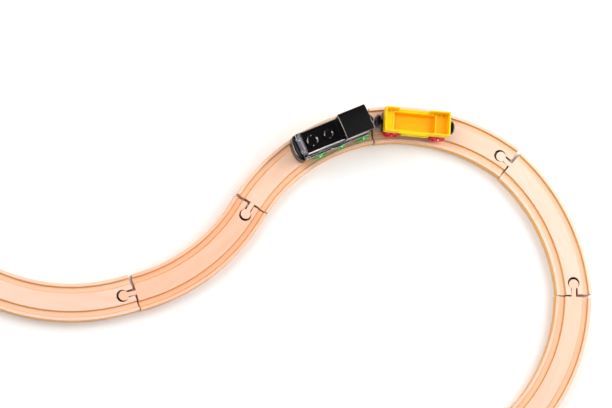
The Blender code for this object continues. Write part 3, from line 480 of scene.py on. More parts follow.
RADIUS = 208 * MM
SPAN = math.radians(45)
WIDTH = 40 * MM
THICK = 12 * MM
GAUGE = 26 * MM
GROOVE = 6.4 * MM
DEPTH = 3 * MM
TRIM = 0.15 * MM
PEG_HEAD = 5.5 * MM
PEG_NECK = 5 * MM
PEG_REACH = 14 * MM
PEG_PLAY = 0.8 * MM
PEG_PIVOT = 13 * MM
JOINT_AIR = 0.03 * MM
HOLE_DEEPER = 0.35 * MM
HOLE_WIDER = 0.25 * MM
SLOT_AIR = 0.17 * MM
PLAY = {"ab": 4.2, "bc": 3.6, "cd": -3.1, "de": -5.9, "ef": -5.4}
WIDEST = math.tan(math.radians(max(abs(angle) for angle in PLAY.values())))
PULL = WIDTH / 2 * WIDEST + JOINT_AIR
HOLE = PEG_REACH - PULL + PEG_PLAY + HOLE_DEEPER
HOLE_RADIUS = PEG_HEAD + PEG_PLAY + HOLE_WIDER
SLOT = PEG_NECK + 2 * ((PEG_PIVOT - PULL) * WIDEST + SLOT_AIR)


def swing(points, angle, pivot=(0, 0)):
    """Points turned about a pivot: from it, x becomes x cos a - y sin a, and y becomes x sin a + y cos a."""
    c, s = math.cos(angle), math.sin(angle)
    return pivot + (points - np.array(pivot)) @ np.array(((c, s), (-s, c)))


def follow(laid_piece, side, angle):
    """Next piece at the low end of a laid one. Its peg head lies before (-1) or beyond (1) the joint."""
    centre, low, over = laid_piece
    ahead = np.array((math.sin(low), -math.cos(low)))
    pivot = centre + RADIUS * circle(low) + side * PEG_PIVOT * ahead
    return swing(centre, angle, pivot) + ahead * PULL, low + angle - SPAN, over


def lay_track():
    """Centre and low angle of each arc, and True where the piece lies turned over."""
    play = {pair: math.radians(angle) for pair, angle in PLAY.items()}
    middle = np.array(CIRCLE[:2])
    laid = {"c": (middle, math.pi / 2, False)}
    for pair in ("cd", "de", "ef"):
        laid[pair[1]] = follow(laid[pair[0]], -1, play[pair])
    high = math.pi / 2 + SPAN
    ahead = np.array((-math.sin(high), math.cos(high)))
    meeting = middle + RADIUS * circle(high)
    moved = swing(meeting + RADIUS * circle(high), play["bc"], meeting + PEG_PIVOT * ahead)
    laid["b"] = (moved + ahead * PULL, high + math.pi + play["bc"] - SPAN, True)
    laid["a"] = follow(laid["b"], 1, play["ab"])
    return laid


print(f"joints are pulled out by {PULL / MM:.2f} mm")

# %% [markdown]
# ## One curved piece
# A real curve is a flat board with its outline sawn, its grooves routed in both faces and a peg left at
# one end. An array of boxes along a curve would leave steps, so one cross-section is carried along the
# middle line and wrapped round the circle. The peg is joined on, and the socket is cut out.

# %% Blank, peg and socket

EDGE = 0.9 * MM
LIP = 0.9 * MM
END_EDGE = 0.35 * MM
PEG_LOWER = 0.3 * MM
PEG_EDGE = 0.4 * MM
PEG_ROOT = 2 * MM
FLARE = 0.2 * MM
FLARE_END = 1.6 * MM
OVERSHOOT = 1 * MM


def track_section():
    """Cross-section, (across, height) from the middle line, with grooves in both faces."""
    half = WIDTH / 2
    corners = [(half, 0, EDGE), (half, THICK, EDGE)]
    for side in (GAUGE / 2, -GAUGE / 2):
        for across, deep in ((1, 0), (1, 1), (-1, 1), (-1, 0)):
            corners.append((side + across * GROOVE / 2, THICK - deep * DEPTH, LIP))
    corners += [(-half, THICK, EDGE), (-half, 0, EDGE)]
    for side in (-GAUGE / 2, GAUGE / 2):
        for across, deep in ((-1, 0), (-1, 1), (1, 1), (1, 0)):
            corners.append((side + across * GROOVE / 2, deep * DEPTH, LIP))
    return rounded([corner[:2] for corner in corners], [corner[2] for corner in corners], 4)


def key_outline(head, neck, place, start):
    """Round head on a neck that runs along y from start."""
    half = neck / 2
    tilt = math.asin(half / head)
    turns = np.linspace(-math.pi / 2 + tilt, 1.5 * math.pi - tilt, 49)
    return np.concatenate(([(half, start)], (0, place) + head * circle(turns), [(-half, start)]))


def curve_parts():
    """Blank, peg and socket tool of one piece. In their frame x is across and y along its middle line."""
    length = RADIUS * SPAN
    blank = plate("y", track_section(), TRIM, length - TRIM, END_EDGE, END_EDGE, steps=2, between=72)
    peg_plan = key_outline(PEG_HEAD, PEG_NECK, PEG_REACH, -PEG_ROOT)
    peg = plate("z", peg_plan, PEG_LOWER, THICK - PEG_LOWER, PEG_EDGE, PEG_EDGE, steps=3, between=9)
    socket_plan = key_outline(HOLE_RADIUS, SLOT, HOLE, -OVERSHOOT)
    levels = [(-OVERSHOOT, -FLARE), (0, -FLARE), (FLARE, 0), (FLARE_END, 0)]
    levels += [(THICK - height, shrink) for height, shrink in reversed(levels)]
    socket = loft([axes_points("z", inset(socket_plan, shrink), height) for height, shrink in levels])
    return blank, peg, socket


def bend(points):
    """Wrap the middle line round the circle: the angle is the place along divided by the radius."""
    out = (RADIUS + points[:, :1]) * circle(points[:, 1] / RADIUS)
    return np.column_stack((out, points[:, 2]))


def at_end(points, turn):
    """Put a flat part at the end of the arc, without bending it."""
    return np.column_stack((swing(points[:, :2] + (RADIUS, 0), turn), points[:, 2]))


def piece_matrix(centre, low, over):
    """Frame of a piece. A piece turned over is rolled half a turn about x before it is laid."""
    matrix = Matrix.Rotation(low + SPAN if over else low, 4, "Z")
    if over:
        matrix = matrix @ Matrix.Rotation(math.pi, 4, "X")
    matrix.translation = (*centre, THICK if over else 0)
    return matrix


# %% [markdown]
# ## Marks for the wood
# The material needs to know where the grain runs and which points lie in a groove or a joint. Painting
# that by hand would take long, and each point's place in its own piece already tells it.

# %% Grain and weights

SEED_SHIFT = 0.37
NEAR = 0.05 * MM
MARGIN = 0.1 * MM
AROUND = 0.3 * MM
RIM_FADE = 1.5 * MM
GAP_FADE = 1.2 * MM
# Weights of painted shade: on groove floors, on the sawn sides and on the end faces of a joint.
FLOOR_WEIGHT = 0.12
SIDE_WEIGHT = 0.6
END_WEIGHT = 0.2


def board_points(local, seed):
    """Points in the frame of the board, which runs along the chord of the arc. The seed moves each board."""
    across, along = swing(local[:, :2], -SPAN / 2).T
    shift = SEED_SHIFT * seed
    return np.stack((along + shift, across + 1.7 * shift, local[:, 2] - shift), 1)


def groove_shade_and_cut_weight(out, below):
    """Router cut and painted shade: 1 on the walls of a groove, little on its floor, and part on the sawn sides of
    the piece.
    """
    reach = np.abs(np.abs(out) - GAUGE / 2)
    inside = (reach < GROOVE / 2 + LIP) & (below < DEPTH + MARGIN)
    wall = np.clip((reach - GROOVE / 2 + LIP) / (0.5 * LIP), 0, 1)
    weight = np.clip(below / LIP, 0, 1) * (FLOOR_WEIGHT + (1 - FLOOR_WEIGHT) * wall)
    side = np.clip((np.abs(out) - WIDTH / 2 + AROUND) / AROUND, 0, 1)
    return np.maximum(np.where(inside, weight, 0), SIDE_WEIGHT * side)


def joint_shade_weight(local, below, joined):
    """Painted shade, high inside a joint: in the socket, on the peg and a little on both end faces."""
    across = local[:, 0] - RADIUS
    along = np.arctan2(local[:, 1], local[:, 0]) * RADIUS
    length = RADIUS * SPAN
    deep = np.clip((below - AROUND) / GAP_FADE, 0, 1)
    joint_shade = np.zeros(len(local))
    if joined[0]:
        hole = np.hypot(across, local[:, 1] - HOLE) < HOLE_RADIUS + AROUND
        slot = (np.abs(across) < SLOT / 2 + AROUND) & (local[:, 1] < HOLE)
        joint_shade = np.where(hole | slot, deep, joint_shade)
        joint_shade = np.where(along < TRIM + NEAR, END_WEIGHT, joint_shade)
    if joined[1]:
        joint_shade = np.where(along > length - TRIM + NEAR, deep, joint_shade)
        joint_shade = np.where(np.abs(along - length + TRIM) < NEAR, END_WEIGHT, joint_shade)
    return joint_shade


def mark_wood(obj, matrix, seed, joined):
    """Store the board frame of every point, and its weights for grooves (router cut and painted shade), joints
    (painted shade) and rims (painted light).
    """
    local = local_points(obj, matrix)
    out = np.hypot(local[:, 0], local[:, 1]) - RADIUS
    below = np.minimum(local[:, 2], THICK - local[:, 2])
    store(obj, "grain", board_points(local, seed))
    store(obj, "groove_shade_and_cut", groove_shade_and_cut_weight(out, below))
    store(obj, "joint_shade", joint_shade_weight(local, below, joined))
    # Painted light: weight of the paler outer rim.
    store(obj, "rim", np.clip((out - GAUGE / 2 - GROOVE / 2) / RIM_FADE, 0, 1))


# %% Six pieces of track

# Linear colour of each piece's face and of its outer rim. No two boards are alike; part of the difference is
# painted light, which makes piece e paler and the rims of c to f paler than their faces.
SHADES = {
    "a": ((0.89, 0.6, 0.465, 1), (0.89, 0.6, 0.465, 1)),
    "b": ((0.89, 0.525, 0.36, 1), (0.89, 0.525, 0.36, 1)),
    "c": ((0.89, 0.585, 0.43, 1), (0.89, 0.59, 0.44, 1)),
    "d": ((0.89, 0.61, 0.46, 1), (0.9, 0.64, 0.49, 1)),
    "e": ((0.88, 0.63, 0.5, 1), (0.9, 0.68, 0.53, 1)),
    "f": ((0.88, 0.585, 0.435, 1), (0.89, 0.6, 0.45, 1)),
}
WOOD_SHARP = 40


def build_track():
    """Six pieces from one set of parts."""
    blank, peg, socket = curve_parts()
    trim = TRIM / RADIUS
    solid = (bend(blank[0]), blank[1])
    pin = (at_end(peg[0], SPAN - trim), peg[1])
    hole = (at_end(socket[0], trim), socket[1])
    for seed, (letter, (centre, low, over)) in enumerate(sorted(lay_track().items())):
        matrix = piece_matrix(centre, low, over)
        obj = raw_object(f"wood_curve_{letter}", solid, matrix)
        boolean(obj, [hole], matrix)
        join_into(obj, raw_object("peg", pin, matrix))
        mark_wood(obj, matrix, seed + 1, (letter != "f", letter != "a"))
        material = wood(f"beech_{letter}", *SHADES[letter])
        dress(obj, "track", material, [f"track_curve_{letter}"], WOOD_SHARP)


build_track()
tally("track")

# %% [markdown]
# ## Plastic and metal
# The shells, wheels and lamps are moulded plastic, and the magnets and axles plated metal. A flat colour
# would look like clay, so a faint mottle changes the gloss and a fine bump stands for the texture of the
# mould. Pale lines along some edges are painted highlights, which need the place of a point in its
# vehicle's own frame: the `place` attribute.

# %% Plastic and metal materials

# Pale grey of the painted highlights along edges.
PAINTED_GLINT = rgba((150, 141, 138))
GLINT_START = 0.2 * MM
ALONG, ACROSS = 0, 1


def stripe(value, centre, half):
    """1 where the value lies within half of the centre, with a soft edge."""
    return (half - (value - centre).size()).ramp(0.0, 0.25 * half)


def place_axes(point):
    """Wires for x, y and z of the stored `place` attribute, a point in its vehicle's own frame."""
    place = point.attribute("place", 1)
    return [place.node("ShaderNodeSeparateXYZ", {"Vector": place}, output=i) for i in range(3)]


def mark_place(obj, matrix):
    """Store every point in the vehicle's own frame as the `place` attribute."""
    store(obj, "place", local_points(obj, matrix))


def mould_texture(point, scale, strength):
    """Fine bump left by the mould."""
    inputs = {"Height": point.noise(scale, 2, 0.5), "Strength": strength, "Distance": 0.1 * MM}
    return point.node("ShaderNodeBump", inputs)


def plastic(name, colour, roughness, bump=0.03, scale=900.0, level=0.5, glint_lines=()):
    """Moulded plastic: an even colour, a faint mottle in the gloss and the texture of the mould.

    A glint line is a painted highlight along an edge: (axis, centre, half width, lowest height) in the
    vehicle's frame. Across the vehicle it lies on both sides alike.
    """
    material, shader, point = start_material(name)
    mottle = point.noise(120, 3, 0.6)
    shade = mottle.between(shaded(colour[:3], (0.96, 0.96, 0.96)), colour)
    axes = place_axes(point) if glint_lines else []
    for axis, centre, half, lowest in glint_lines:
        value = axes[axis].size() if axis == ACROSS else axes[axis]
        # Painted highlight: a pale line along an edge.
        glint = stripe(value, centre, half) * (axes[2] - lowest).ramp(0.0, GLINT_START)
        shade = glint.between(shade, PAINTED_GLINT)
    relief = mould_texture(point, scale, bump)
    feed(point, shader, Base_Color=shade, Roughness=roughness + 0.04 * mottle, Normal=relief, IOR=1.5)
    feed(point, shader, Specular_IOR_Level=level)
    return material


def metal(name, colour, roughness):
    """Plated metal with fine drawn lines."""
    material, shader, point = start_material(name)
    lines = point.stretched((4000, 300, 4000)).noise(1.0, 2, 0.5)
    feed(point, shader, Base_Color=colour, Metallic=1.0, Roughness=roughness + 0.15 * lines)
    return material


# %% [markdown]
# ## Engine
# The engine is a black shell in two halves, boiler and cab, on a chassis that the CAD already shows. The
# shells are rounded plates with their insides cut out, so that the works inside stay clear of them. A
# solid block would look the same from above, but the works would lie inside it.

# %% Engine sizes and finishes

SEAT = 28.2 * MM
WALL = 1.6 * MM
BOARD_HALF = 15.2 * MM
BOARD_TOP = 29.7 * MM
BOILER_HALF = 12.9 * MM
BOILER_TOP = 47 * MM
BOILER_BACK = 0.9 * MM
BOILER_END = 45.1 * MM
HOLLOW_END = 43.5
CAB_HALF = 13.4 * MM
CAB_TOP = 55.5 * MM
CAB_BACK = -31.4 * MM
CAB_FRONT = 0.6 * MM
ROOF_BACK = -32 * MM
ROOF_FRONT = 0.9 * MM
BUTTONS = {"front": (35.2, 6.5), "rear": (15.7, 5.5)}
BUTTON_AIR = 0.3

# Painted highlights along the running boards, the boiler's shoulders and the ends of the roof.
BOARD_GLINTS = [(ACROSS, BOARD_HALF, 0.6 * MM, 28.8 * MM)]
BOILER_GLINTS = [(ACROSS, BOILER_HALF - 0.4 * MM, 0.35 * MM, 44.5 * MM), *BOARD_GLINTS]
ROOF_GLINTS = [(ALONG, end, 0.22 * MM, 55.9 * MM) for end in (ROOF_FRONT - 0.1 * MM, ROOF_BACK + 0.1 * MM)]
BLACK = plastic("gloss_black", rgba((11, 8, 9)), 0.1)
BOILER = plastic("boiler_black", rgba((11, 8, 9)), 0.12, glint_lines=BOILER_GLINTS)
SATIN = plastic("satin_black", rgba((13, 10, 11)), 0.2, glint_lines=BOARD_GLINTS)
ROOF = plastic("matte_black", rgba((12, 9, 10)), 0.2, bump=0.05, scale=2600, level=0.4, glint_lines=ROOF_GLINTS)
LILAC = plastic("lilac_grey", rgba((104, 98, 114)), 0.2)
# Cab panes: their pale grey is a painted reflection.
PANE_REFLECTION_GREY = plastic("pane_reflection_grey", rgba((226, 214, 210)), 0.12)
LENS = plastic("lamp_lens", rgba((110, 108, 118)), 0.08)

# %% Boiler


def box_part(low, high, radius=0.0):
    """Box between two corners in mm, with rounded upright edges."""
    outline = box_outline(low[0], high[0], low[1], high[1], radius) * MM
    return plate("z", outline, low[2] * MM, high[2] * MM)


def rod_part(radius, low, high, x, count):
    """Upright cylinder on the middle line, in mm."""
    profile = [(0, low), (radius, low), (radius, high), (0, high)]
    return turned("z", np.array(profile) * MM, np.array((x, 0, 0)) * MM, count)


def shell_section(half, top, shoulder, steps):
    """Section of a shell: running boards at its foot, upright sides and rounded upper edges."""
    corners = [(-BOARD_HALF, SEAT), (BOARD_HALF, SEAT), (BOARD_HALF, BOARD_TOP), (half, BOARD_TOP)]
    corners += [(half, top), (-half, top), (-half, BOARD_TOP), (-BOARD_HALF, BOARD_TOP)]
    radii = np.array([0.6, 0.6, 0.7, 0.5, shoulder, shoulder, 0.5, 0.7]) * MM
    return rounded(corners, radii, steps)


def build_boiler():
    """Boiler with running boards, hollow and open below, with a hole for each button."""
    section = shell_section(BOILER_HALF, BOILER_TOP, 3, 10)
    outer = plate("x", section, BOILER_BACK, BOILER_END, 0.2 * MM, 0.55 * MM)
    inside, floor, roof = 10.6 * MM, 34 * MM, BOILER_TOP - WALL
    arch = [(-inside, floor), (inside, floor), (inside, roof), (-inside, roof)]
    hollow = rounded(arch, np.array([0, 0, 1.4, 1.4]) * MM, 12)
    cuts = [box_part((-1, -8.5, 27), (HOLLOW_END, 8.5, 34.4))]
    cuts.append(plate("x", hollow, -1 * MM, HOLLOW_END * MM))
    for x, radius in BUTTONS.values():
        cuts.append(rod_part(radius + BUTTON_AIR, 44, 49, x, 96))
    boiler = piece("boiler", outer, LOCO, "locomotive", BOILER, ["loco_boiler_shell"], cuts)
    mark_place(boiler, LOCO)


build_boiler()
tally("boiler")

# %% [markdown]
# ## The engine's nose
# In front of the boiler sit a grey plate, two lamps and a round bumper. The plate bulges like the end of
# a real boiler: its outline shrinks with the cosine of an angle while it comes forward with the sine. A
# flat plate would show no change of light from above.

# %% Plate, lamps and bumper

DOME_FOOT = 45.9
DOME_RISE = 2.6
LAMP_RADIUS = 2.4
LAMP_ROOT = 46.5
LAMP_SHOULDER = 48.8
LAMP_RISE = 2.1
LAMP_SIDE = 7
LAMP_HEIGHT = 43
BUMPER_REACH = 7.5


def build_nose():
    """Domed plate, two lamps on short barrels that stand in it, and the bumper below."""
    front = rounded([(-11, 30), (11, 30), (11, 46), (-11, 46)], [2, 2, 3, 3], 10) * MM
    middle = np.array((0, 38)) * MM
    rings = [axes_points("x", front, 45.4 * MM)]
    for t in np.linspace(0, 1.35, 14):
        outline = middle + (front - middle) * math.cos(t)
        rings.append(axes_points("x", outline, (DOME_FOOT + DOME_RISE * math.sin(t)) * MM))
    piece("boiler_front", loft(rings), LOCO, "locomotive", LILAC, ["loco_boiler_front"])

    turns = np.linspace(0, math.pi / 2, 10)[:-1]
    dome = (0, LAMP_SHOULDER) + (LAMP_RADIUS, LAMP_RISE) * circle(turns)
    tip = (0, LAMP_SHOULDER + LAMP_RISE)
    profile = np.array([(0, LAMP_ROOT), (LAMP_RADIUS, LAMP_ROOT), *dome, tip]) * MM
    for place, side in (("near", LAMP_SIDE), ("far", -LAMP_SIDE)):
        lamp = turned("x", profile, np.array((0, side, LAMP_HEIGHT)) * MM, 40)
        piece(f"headlamp_{place}", lamp, LOCO, "locomotive", LENS, [f"loco_headlamp_{place}"])

    turns = np.linspace(-math.pi / 2, math.pi / 2, 61)
    curve = ((45.3, 0) + (BUMPER_REACH, BOARD_HALF / MM) * circle(turns)) * MM
    bumper = plate("z", curve, 14 * MM, 27.5 * MM, 0.8 * MM, 1.6 * MM, steps=7)
    piece("bumper", bumper, LOCO, "locomotive", SATIN, ["loco_bumper"])


build_nose()
tally("nose")

# %% [markdown]
# ## Cab
# The cab stands on the same running boards. Its panes are let into recesses in its sides: painted panes
# would be simpler, but have no edge to catch the light. The panes' pale grey is a painted reflection. The
# roof's section is a shallow parabola.

# %% Cab and roof

PANE_BACK, PANE_FRONT, PANE_LOW, PANE_HIGH = -28.6, -2.2, 36, 54
PANE_AIR = 0.1
RECESS = 12.9 * MM
ROOF_HALF = 14.2


def build_cab():
    """Cab shell with a back window, a tongue behind it for the screw, and panes in its sides."""
    section = shell_section(CAB_HALF, CAB_TOP, 0.6, 6)
    shell = plate("x", section, CAB_BACK, CAB_FRONT, 0.45 * MM, 0.2 * MM)
    tongue_plan = box_outline(-39.5, -31, -6, 6, 0.6) * MM
    tongue = plate("z", tongue_plan, SEAT, SEAT + WALL, 0, 0.3 * MM)
    cuts = [box_part((-29.8, -11.8, 27), (-1, 11.8, 57), 0.4)]
    window = box_outline(PANE_BACK, PANE_FRONT, PANE_LOW, PANE_HIGH, 1.2) * MM
    cuts += [plate("y", window, RECESS, 16 * MM), plate("y", window, -16 * MM, -RECESS)]
    back_window = box_outline(-6, 6, 39.2, 51.5, 1.2) * MM
    cuts.append(plate("x", back_window, -33 * MM, -29 * MM))
    cuts.append(box_part((-2, -5.85, 27), (2, 5.85, 31.85)))
    obj = raw_object("cab", shell, LOCO)
    boolean(obj, cuts, LOCO)
    boolean(obj, [tongue], LOCO, "UNION")
    boolean(obj, [rod_part(1.3, 27, 31, -35.2, 32)], LOCO)
    mark_place(dress(obj, "locomotive", SATIN, ["loco_cab_shell"]), LOCO)
    along = (PANE_BACK + PANE_AIR, PANE_FRONT - PANE_AIR)
    pane = box_outline(*along, PANE_LOW + PANE_AIR, PANE_HIGH - PANE_AIR, 1.1) * MM
    for place, sign in (("near", 1), ("far", -1)):
        low, high = sorted((sign * 12.92 * MM, sign * 13.3 * MM))
        # Pale pane, its colour a painted reflection.
        glass = plate("y", pane, low, high)
        piece(f"cab_window_{place}", glass, LOCO, "locomotive", PANE_REFLECTION_GREY)


def build_roof():
    """Roof whose upper side rises by 1.6 (1 - s squared), with s from -1 to 1 across it."""
    share = np.linspace(-1, 1, 25)
    crown = np.stack((ROOF_HALF * share, 56.8 + 1.6 * (1 - share**2)), 1)[::-1]
    outline = np.concatenate(([(-ROOF_HALF, 55.8), (ROOF_HALF, 55.8)], crown)) * MM
    radii = np.zeros(len(outline))
    radii[[0, 1, 2, -1]] = 0.45 * MM
    roof = plate("x", rounded(outline, radii, 4), ROOF_BACK, ROOF_FRONT, 0.4 * MM, 0.4 * MM, steps=5)
    mark_place(piece("roof", roof, LOCO, "locomotive", ROOF, ["loco_cab_roof"]), LOCO)


build_cab()
build_roof()
tally("cab and roof")

# %% [markdown]
# ## Push buttons
# Two round buttons stand in the boiler's top. Each is turned from one profile: stem, flange under the
# shell, rounded rim and a shallow dish. A bevelled cylinder would do for the rim, but only the flange keeps
# the button in, and only the dish gives the ring of light on top.

# %% Buttons

BUTTON_TOP = 49.2
BUTTON_EDGE = 0.9
DISH_INSET = 1.7


def build_buttons():
    """Push buttons with a rounded rim and a shallow dish, each on its own body."""
    turns = np.linspace(0, math.pi / 2, 6)
    for place, (x, radius) in BUTTONS.items():
        flange = radius + 0.7
        dish = radius - DISH_INSET
        profile = [(0, 40.3), (2, 40.3), (2, 43.8), (flange, 43.8), (flange, 45.1), (radius, 45.1)]
        profile += ((radius, BUTTON_TOP) + BUTTON_EDGE * (circle(turns) - 1)).tolist()
        for out, sunk in ((dish + 0.5, 0.12), (dish, 0.5), (0.55 * dish, 0.62), (0, 0.66)):
            profile.append((out, BUTTON_TOP - sunk))
        part = turned("z", np.array(profile) * MM, np.array((x, 0, 0)) * MM, 72)
        target = [f"loco_button_{place}"]
        piece(f"button_{place}", part, LOCO, f"{place}_button", BLACK, target)


build_buttons()
tally("buttons")

# %% [markdown]
# ## Wheels and couplers
# Both vehicles use the same turned shapes. The wheel's profile runs from the end of the blind bore, up
# the inner face, round the tread, and over the web to a round hub, which catches a glint. The couplers
# are cups that hold a magnet each. Blender's Screw modifier could turn them too, but numpy needs no
# modifier and closes the poles.

# %% Wheels

GREEN = plastic("green", rgba((0, 178, 60)), 0.15)
RED = plastic("red", rgba((226, 0, 18)), 0.15)
WHEEL_RADIUS = 9
WHEEL_HALF = 1.2
BORE = 1.8
BORE_END = 2.1
WEB = 0.48
HUB_RADIUS = 4
HUB_RISE = 2.9


def wheel_profile():
    """(radius, place) in mm of a wheel whose outer face looks along +y."""
    turns = np.linspace(0, math.pi / 2, 5)
    inner = (WHEEL_RADIUS, -WHEEL_HALF) + 0.6 * (circle(turns - math.pi / 2) + (-1, 1))
    outer = (WHEEL_RADIUS, WHEEL_HALF) + 0.5 * (circle(turns) - 1)
    web = [(7.5, WHEEL_HALF), (7.2, 1.0), (7.0, 0.55), (6.8, WEB), (4.3, WEB), (4.1, 0.55)]
    hub = (0, WEB) + (HUB_RADIUS, HUB_RISE) * circle(np.linspace(0.1, math.pi / 2, 16)[:-1])
    bore = [(0, BORE_END), (BORE, BORE_END), (BORE, -WHEEL_HALF)]
    return [*bore, *inner, *outer, *web, *hub, (0, WEB + HUB_RISE)]


def build_wheels():
    """A wheel at each end of each axle, on the axle's own body."""
    radius, place_out = np.array(wheel_profile()).T * MM
    for name, joint in joints.items():
        if not name.endswith("_wheels_turn"):
            continue
        prefix, place = name.split("_")[:2]
        paint, slot = (GREEN, "green") if prefix == "loco" else (RED, "red")
        axle = frame_matrix(Vector(joint["pos_m"]), joint["axis"])
        for side, sign in (("near", 1), ("far", -1)):
            profile = np.stack((radius, sign * (place_out + GAUGE / 2)), 1)
            target = f"{prefix}_wheel_{place}_{side}"
            wheel = turned("y", profile, count=72)
            piece(target + "_rim", wheel, axle, joint["child"], paint, [target])


build_wheels()
tally("wheels")

# %% Couplers

STEEL = metal("steel", (0.16, 0.15, 0.16, 1.0), 0.3)
COUPLER_HEIGHT = 21
CUP_RADIUS = 7.2
CUP_BACK = 40.2


def build_couplers():
    """Cup and magnet at each coupler. Profiles are in mm, from the middle of the vehicle outward."""
    for prefix, place, sign, matrix, body, end in (
        ("loco", "rear", -1, LOCO, "locomotive", 40.5),
        ("wagon", "front", 1, WAGON, "wagon", 36.2),
        ("wagon", "rear", -1, WAGON, "wagon", 36.2),
    ):
        back = max(end + 0.3, CUP_BACK)
        rim = CUP_RADIUS - 0.4
        cup = [(0, end - 2.6), (2.2, end - 2.6), (2.2, back - 1), (rim, back - 1), (CUP_RADIUS, back - 0.6)]
        cup += [(CUP_RADIUS, 42.2), (rim, 42.6), (5.3, 42.6), (5.3, 41.6), (0, 41.6)]
        disc = [(0, 41.9), (5, 41.9), (5, 43.6), (4.75, 43.9), (3.4, 44.55), (3.2, 44.6), (0, 44.6)]
        centre = np.array((0, 0, COUPLER_HEIGHT)) * MM
        for kind, shape, paint, slot in (
            ("coupler", cup, BLACK, "gloss_black"),
            ("magnet", disc, STEEL, "steel"),
        ):
            profile = np.array(shape) * (1, sign) * MM
            target = f"{prefix}_{kind}_{place}"
            piece(target + "_turned", turned("x", profile, centre, 48), matrix, body, paint, [target])


build_couplers()
tally("couplers")

# %% [markdown]
# ## Wagon
# The wagon is an open moulding with raised ends, low sides and a well. It could be a box with many cuts,
# but one loft of rounded rectangles keeps the walls even: from the middle of its underside out to the
# wall, up, over the rim, down to the bed and into the well. Then one box takes the middle of both long
# walls down. Its material reads the `place` attribute, so the well and the rear tray carry a painted
# orange shade that the rims don't.

# %% Wagon finish

BED = 29.7
BEADS = (25.6, -21.6)
LOW_SIDE = (-14.5, 20.5)
SPOT_PITCH = 5.1 * MM
SPOT_LINE = -10.8 * MM


def yellow_plastic():
    """Yellow moulding with a painted orange shade in the well and the rear tray, and painted spots along the far
    wall.
    """
    material, shader, point = start_material("yellow")
    along, across, height = place_axes(point)
    aside = across.size()
    mottle = point.noise(120, 3, 0.6)
    # Painted shade: a deeper orange in the well and in the rear tray.
    well_shade = ((BED - 0.2) * MM - height).ramp(0.0, 3 * MM) * (9.8 * MM - aside).ramp(0.0, 0.5 * MM)
    tray_shade = (BEADS[1] * MM - along).ramp(0.0, 1 * MM) * (11.7 * MM - aside).ramp(0.0, 0.5 * MM)
    tray_shade = tray_shade * ((BED + 0.5) * MM - height).ramp(0.0, 0.4 * MM)
    colour = mottle.between(rgba((253, 204, 0)), rgba((253, 210, 0)))
    colour = (well_shade + tray_shade).between(colour, rgba((253, 174, 0)))
    wave = along.maths("COSINE", along * (math.tau / SPOT_PITCH))
    ends = (along - LOW_SIDE[1] * MM).ramp(0.0, 0.4 * MM) + (LOW_SIDE[0] * MM - along).ramp(0.0, 0.4 * MM)
    row = (0.7 * MM - (across - SPOT_LINE).size()).ramp(0.0, 0.2 * MM)
    spots = wave.ramp(0.3, 0.6) * ends * row * (31 * MM - height).ramp(0.0, 0.5 * MM)
    colour = (spots * 0.8).between(colour, rgba((206, 40, 70)))
    relief = mould_texture(point, 900, 0.03)
    feed(point, shader, Base_Color=colour, Roughness=0.24 + 0.05 * mottle, Normal=relief, IOR=1.5)
    feed(point, shader, Specular_IOR_Level=0.12)
    return material


YELLOW = yellow_plastic()

# %% Wagon body

# Boxes of the wagon: x from, x to and half width in mm
TROUGH = (-22.2, 26.2, 10)
WALLS = (-36.5, 36.5, 13.6)
HOLLOW = (-34.7, 34.7, 11.8)
WELL_MOUTH = (-21, 25, 9.7)
WELL_FOOT = (-21, 25, 8.1)
UNDER = 21.6
FOOT = 28.2
RIM = 38.5
WELL_FLOOR = 23.1
CORNER = 1.1


def ring(box, height, spread=0.0, wider=0.0):
    """Rounded rectangle of a box at a height, spread outward on all sides and made wider across."""
    half = box[2] + spread + wider
    outline = box_outline(box[0] - spread, box[1] + spread, -half, half, CORNER, 5) * MM
    return axes_points("z", outline, height * MM)


def wagon_rings():
    """Rings from under the trough, up the walls, over the rim and down to the floor of the well."""
    path = [(TROUGH, UNDER, -1.2), (TROUGH, UNDER, -0.2), (TROUGH, UNDER + 0.2), (TROUGH, FOOT)]
    path += [(WALLS, FOOT, -0.2), (WALLS, FOOT + 0.2), (WALLS, RIM - 0.4)]
    path += [(WALLS, RIM - 0.12, -0.12), (WALLS, RIM, -0.4), (HOLLOW, RIM, 0.4)]
    path += [(HOLLOW, RIM - 0.12, 0.12), (HOLLOW, RIM - 0.4), (HOLLOW, BED + 0.3), (HOLLOW, BED, -0.3)]
    path += [(WELL_MOUTH, BED, 0.4, 0.1), (WELL_MOUTH, BED - 0.15, 0.1, 0.15), (WELL_MOUTH, BED - 0.5)]
    path += [(WELL_FOOT, WELL_FLOOR + 0.4), (WELL_FOOT, WELL_FLOOR, -0.3)]
    return [ring(*level) for level in path]


def wagon_extras():
    """Skirts between the wheels, a half-round bead at each end of the well, and two screw posts below."""
    extras = []
    skirt = box_outline(-15.5, 15.5, 18, 29, 0.8) * MM
    for side in (1, -1):
        low, high = sorted((side * 11.9 * MM, side * 13.57 * MM))
        extras.append(plate("y", skirt, low, high, 0.3 * MM, 0.3 * MM))
    turns = np.linspace(0, math.pi, 13)
    for x in BEADS:
        bead = ((x, BED - 0.3) + (0.8, 0.9) * circle(turns)) * MM
        extras.append(plate("y", bead, -9.9 * MM, 9.9 * MM))
    post = np.array([(0, 27.9), (1.3, 27.9), (1.3, 22.2), (2.6, 22.2), (2.6, 28.6), (0, 28.6)]) * MM
    for x in (30, -30):
        extras.append(turned("z", post, np.array((x, 0, 0)) * MM, 32))
    return extras


def build_wagon():
    """Open wagon with raised ends, low sides, a well, skirts, beads and screw posts."""
    obj = raw_object("wagon_shell", loft(wagon_rings()), WAGON)
    boolean(obj, [box_part((LOW_SIDE[0], -16, 30.3), (LOW_SIDE[1], 16, 40), 0.6)], WAGON)
    for extra in wagon_extras():
        join_into(obj, raw_object("wagon_extra", extra, WAGON))
    mark_place(obj, WAGON)
    dress(obj, "wagon", YELLOW, ["wagon_body"])


build_wagon()
tally("wagon")

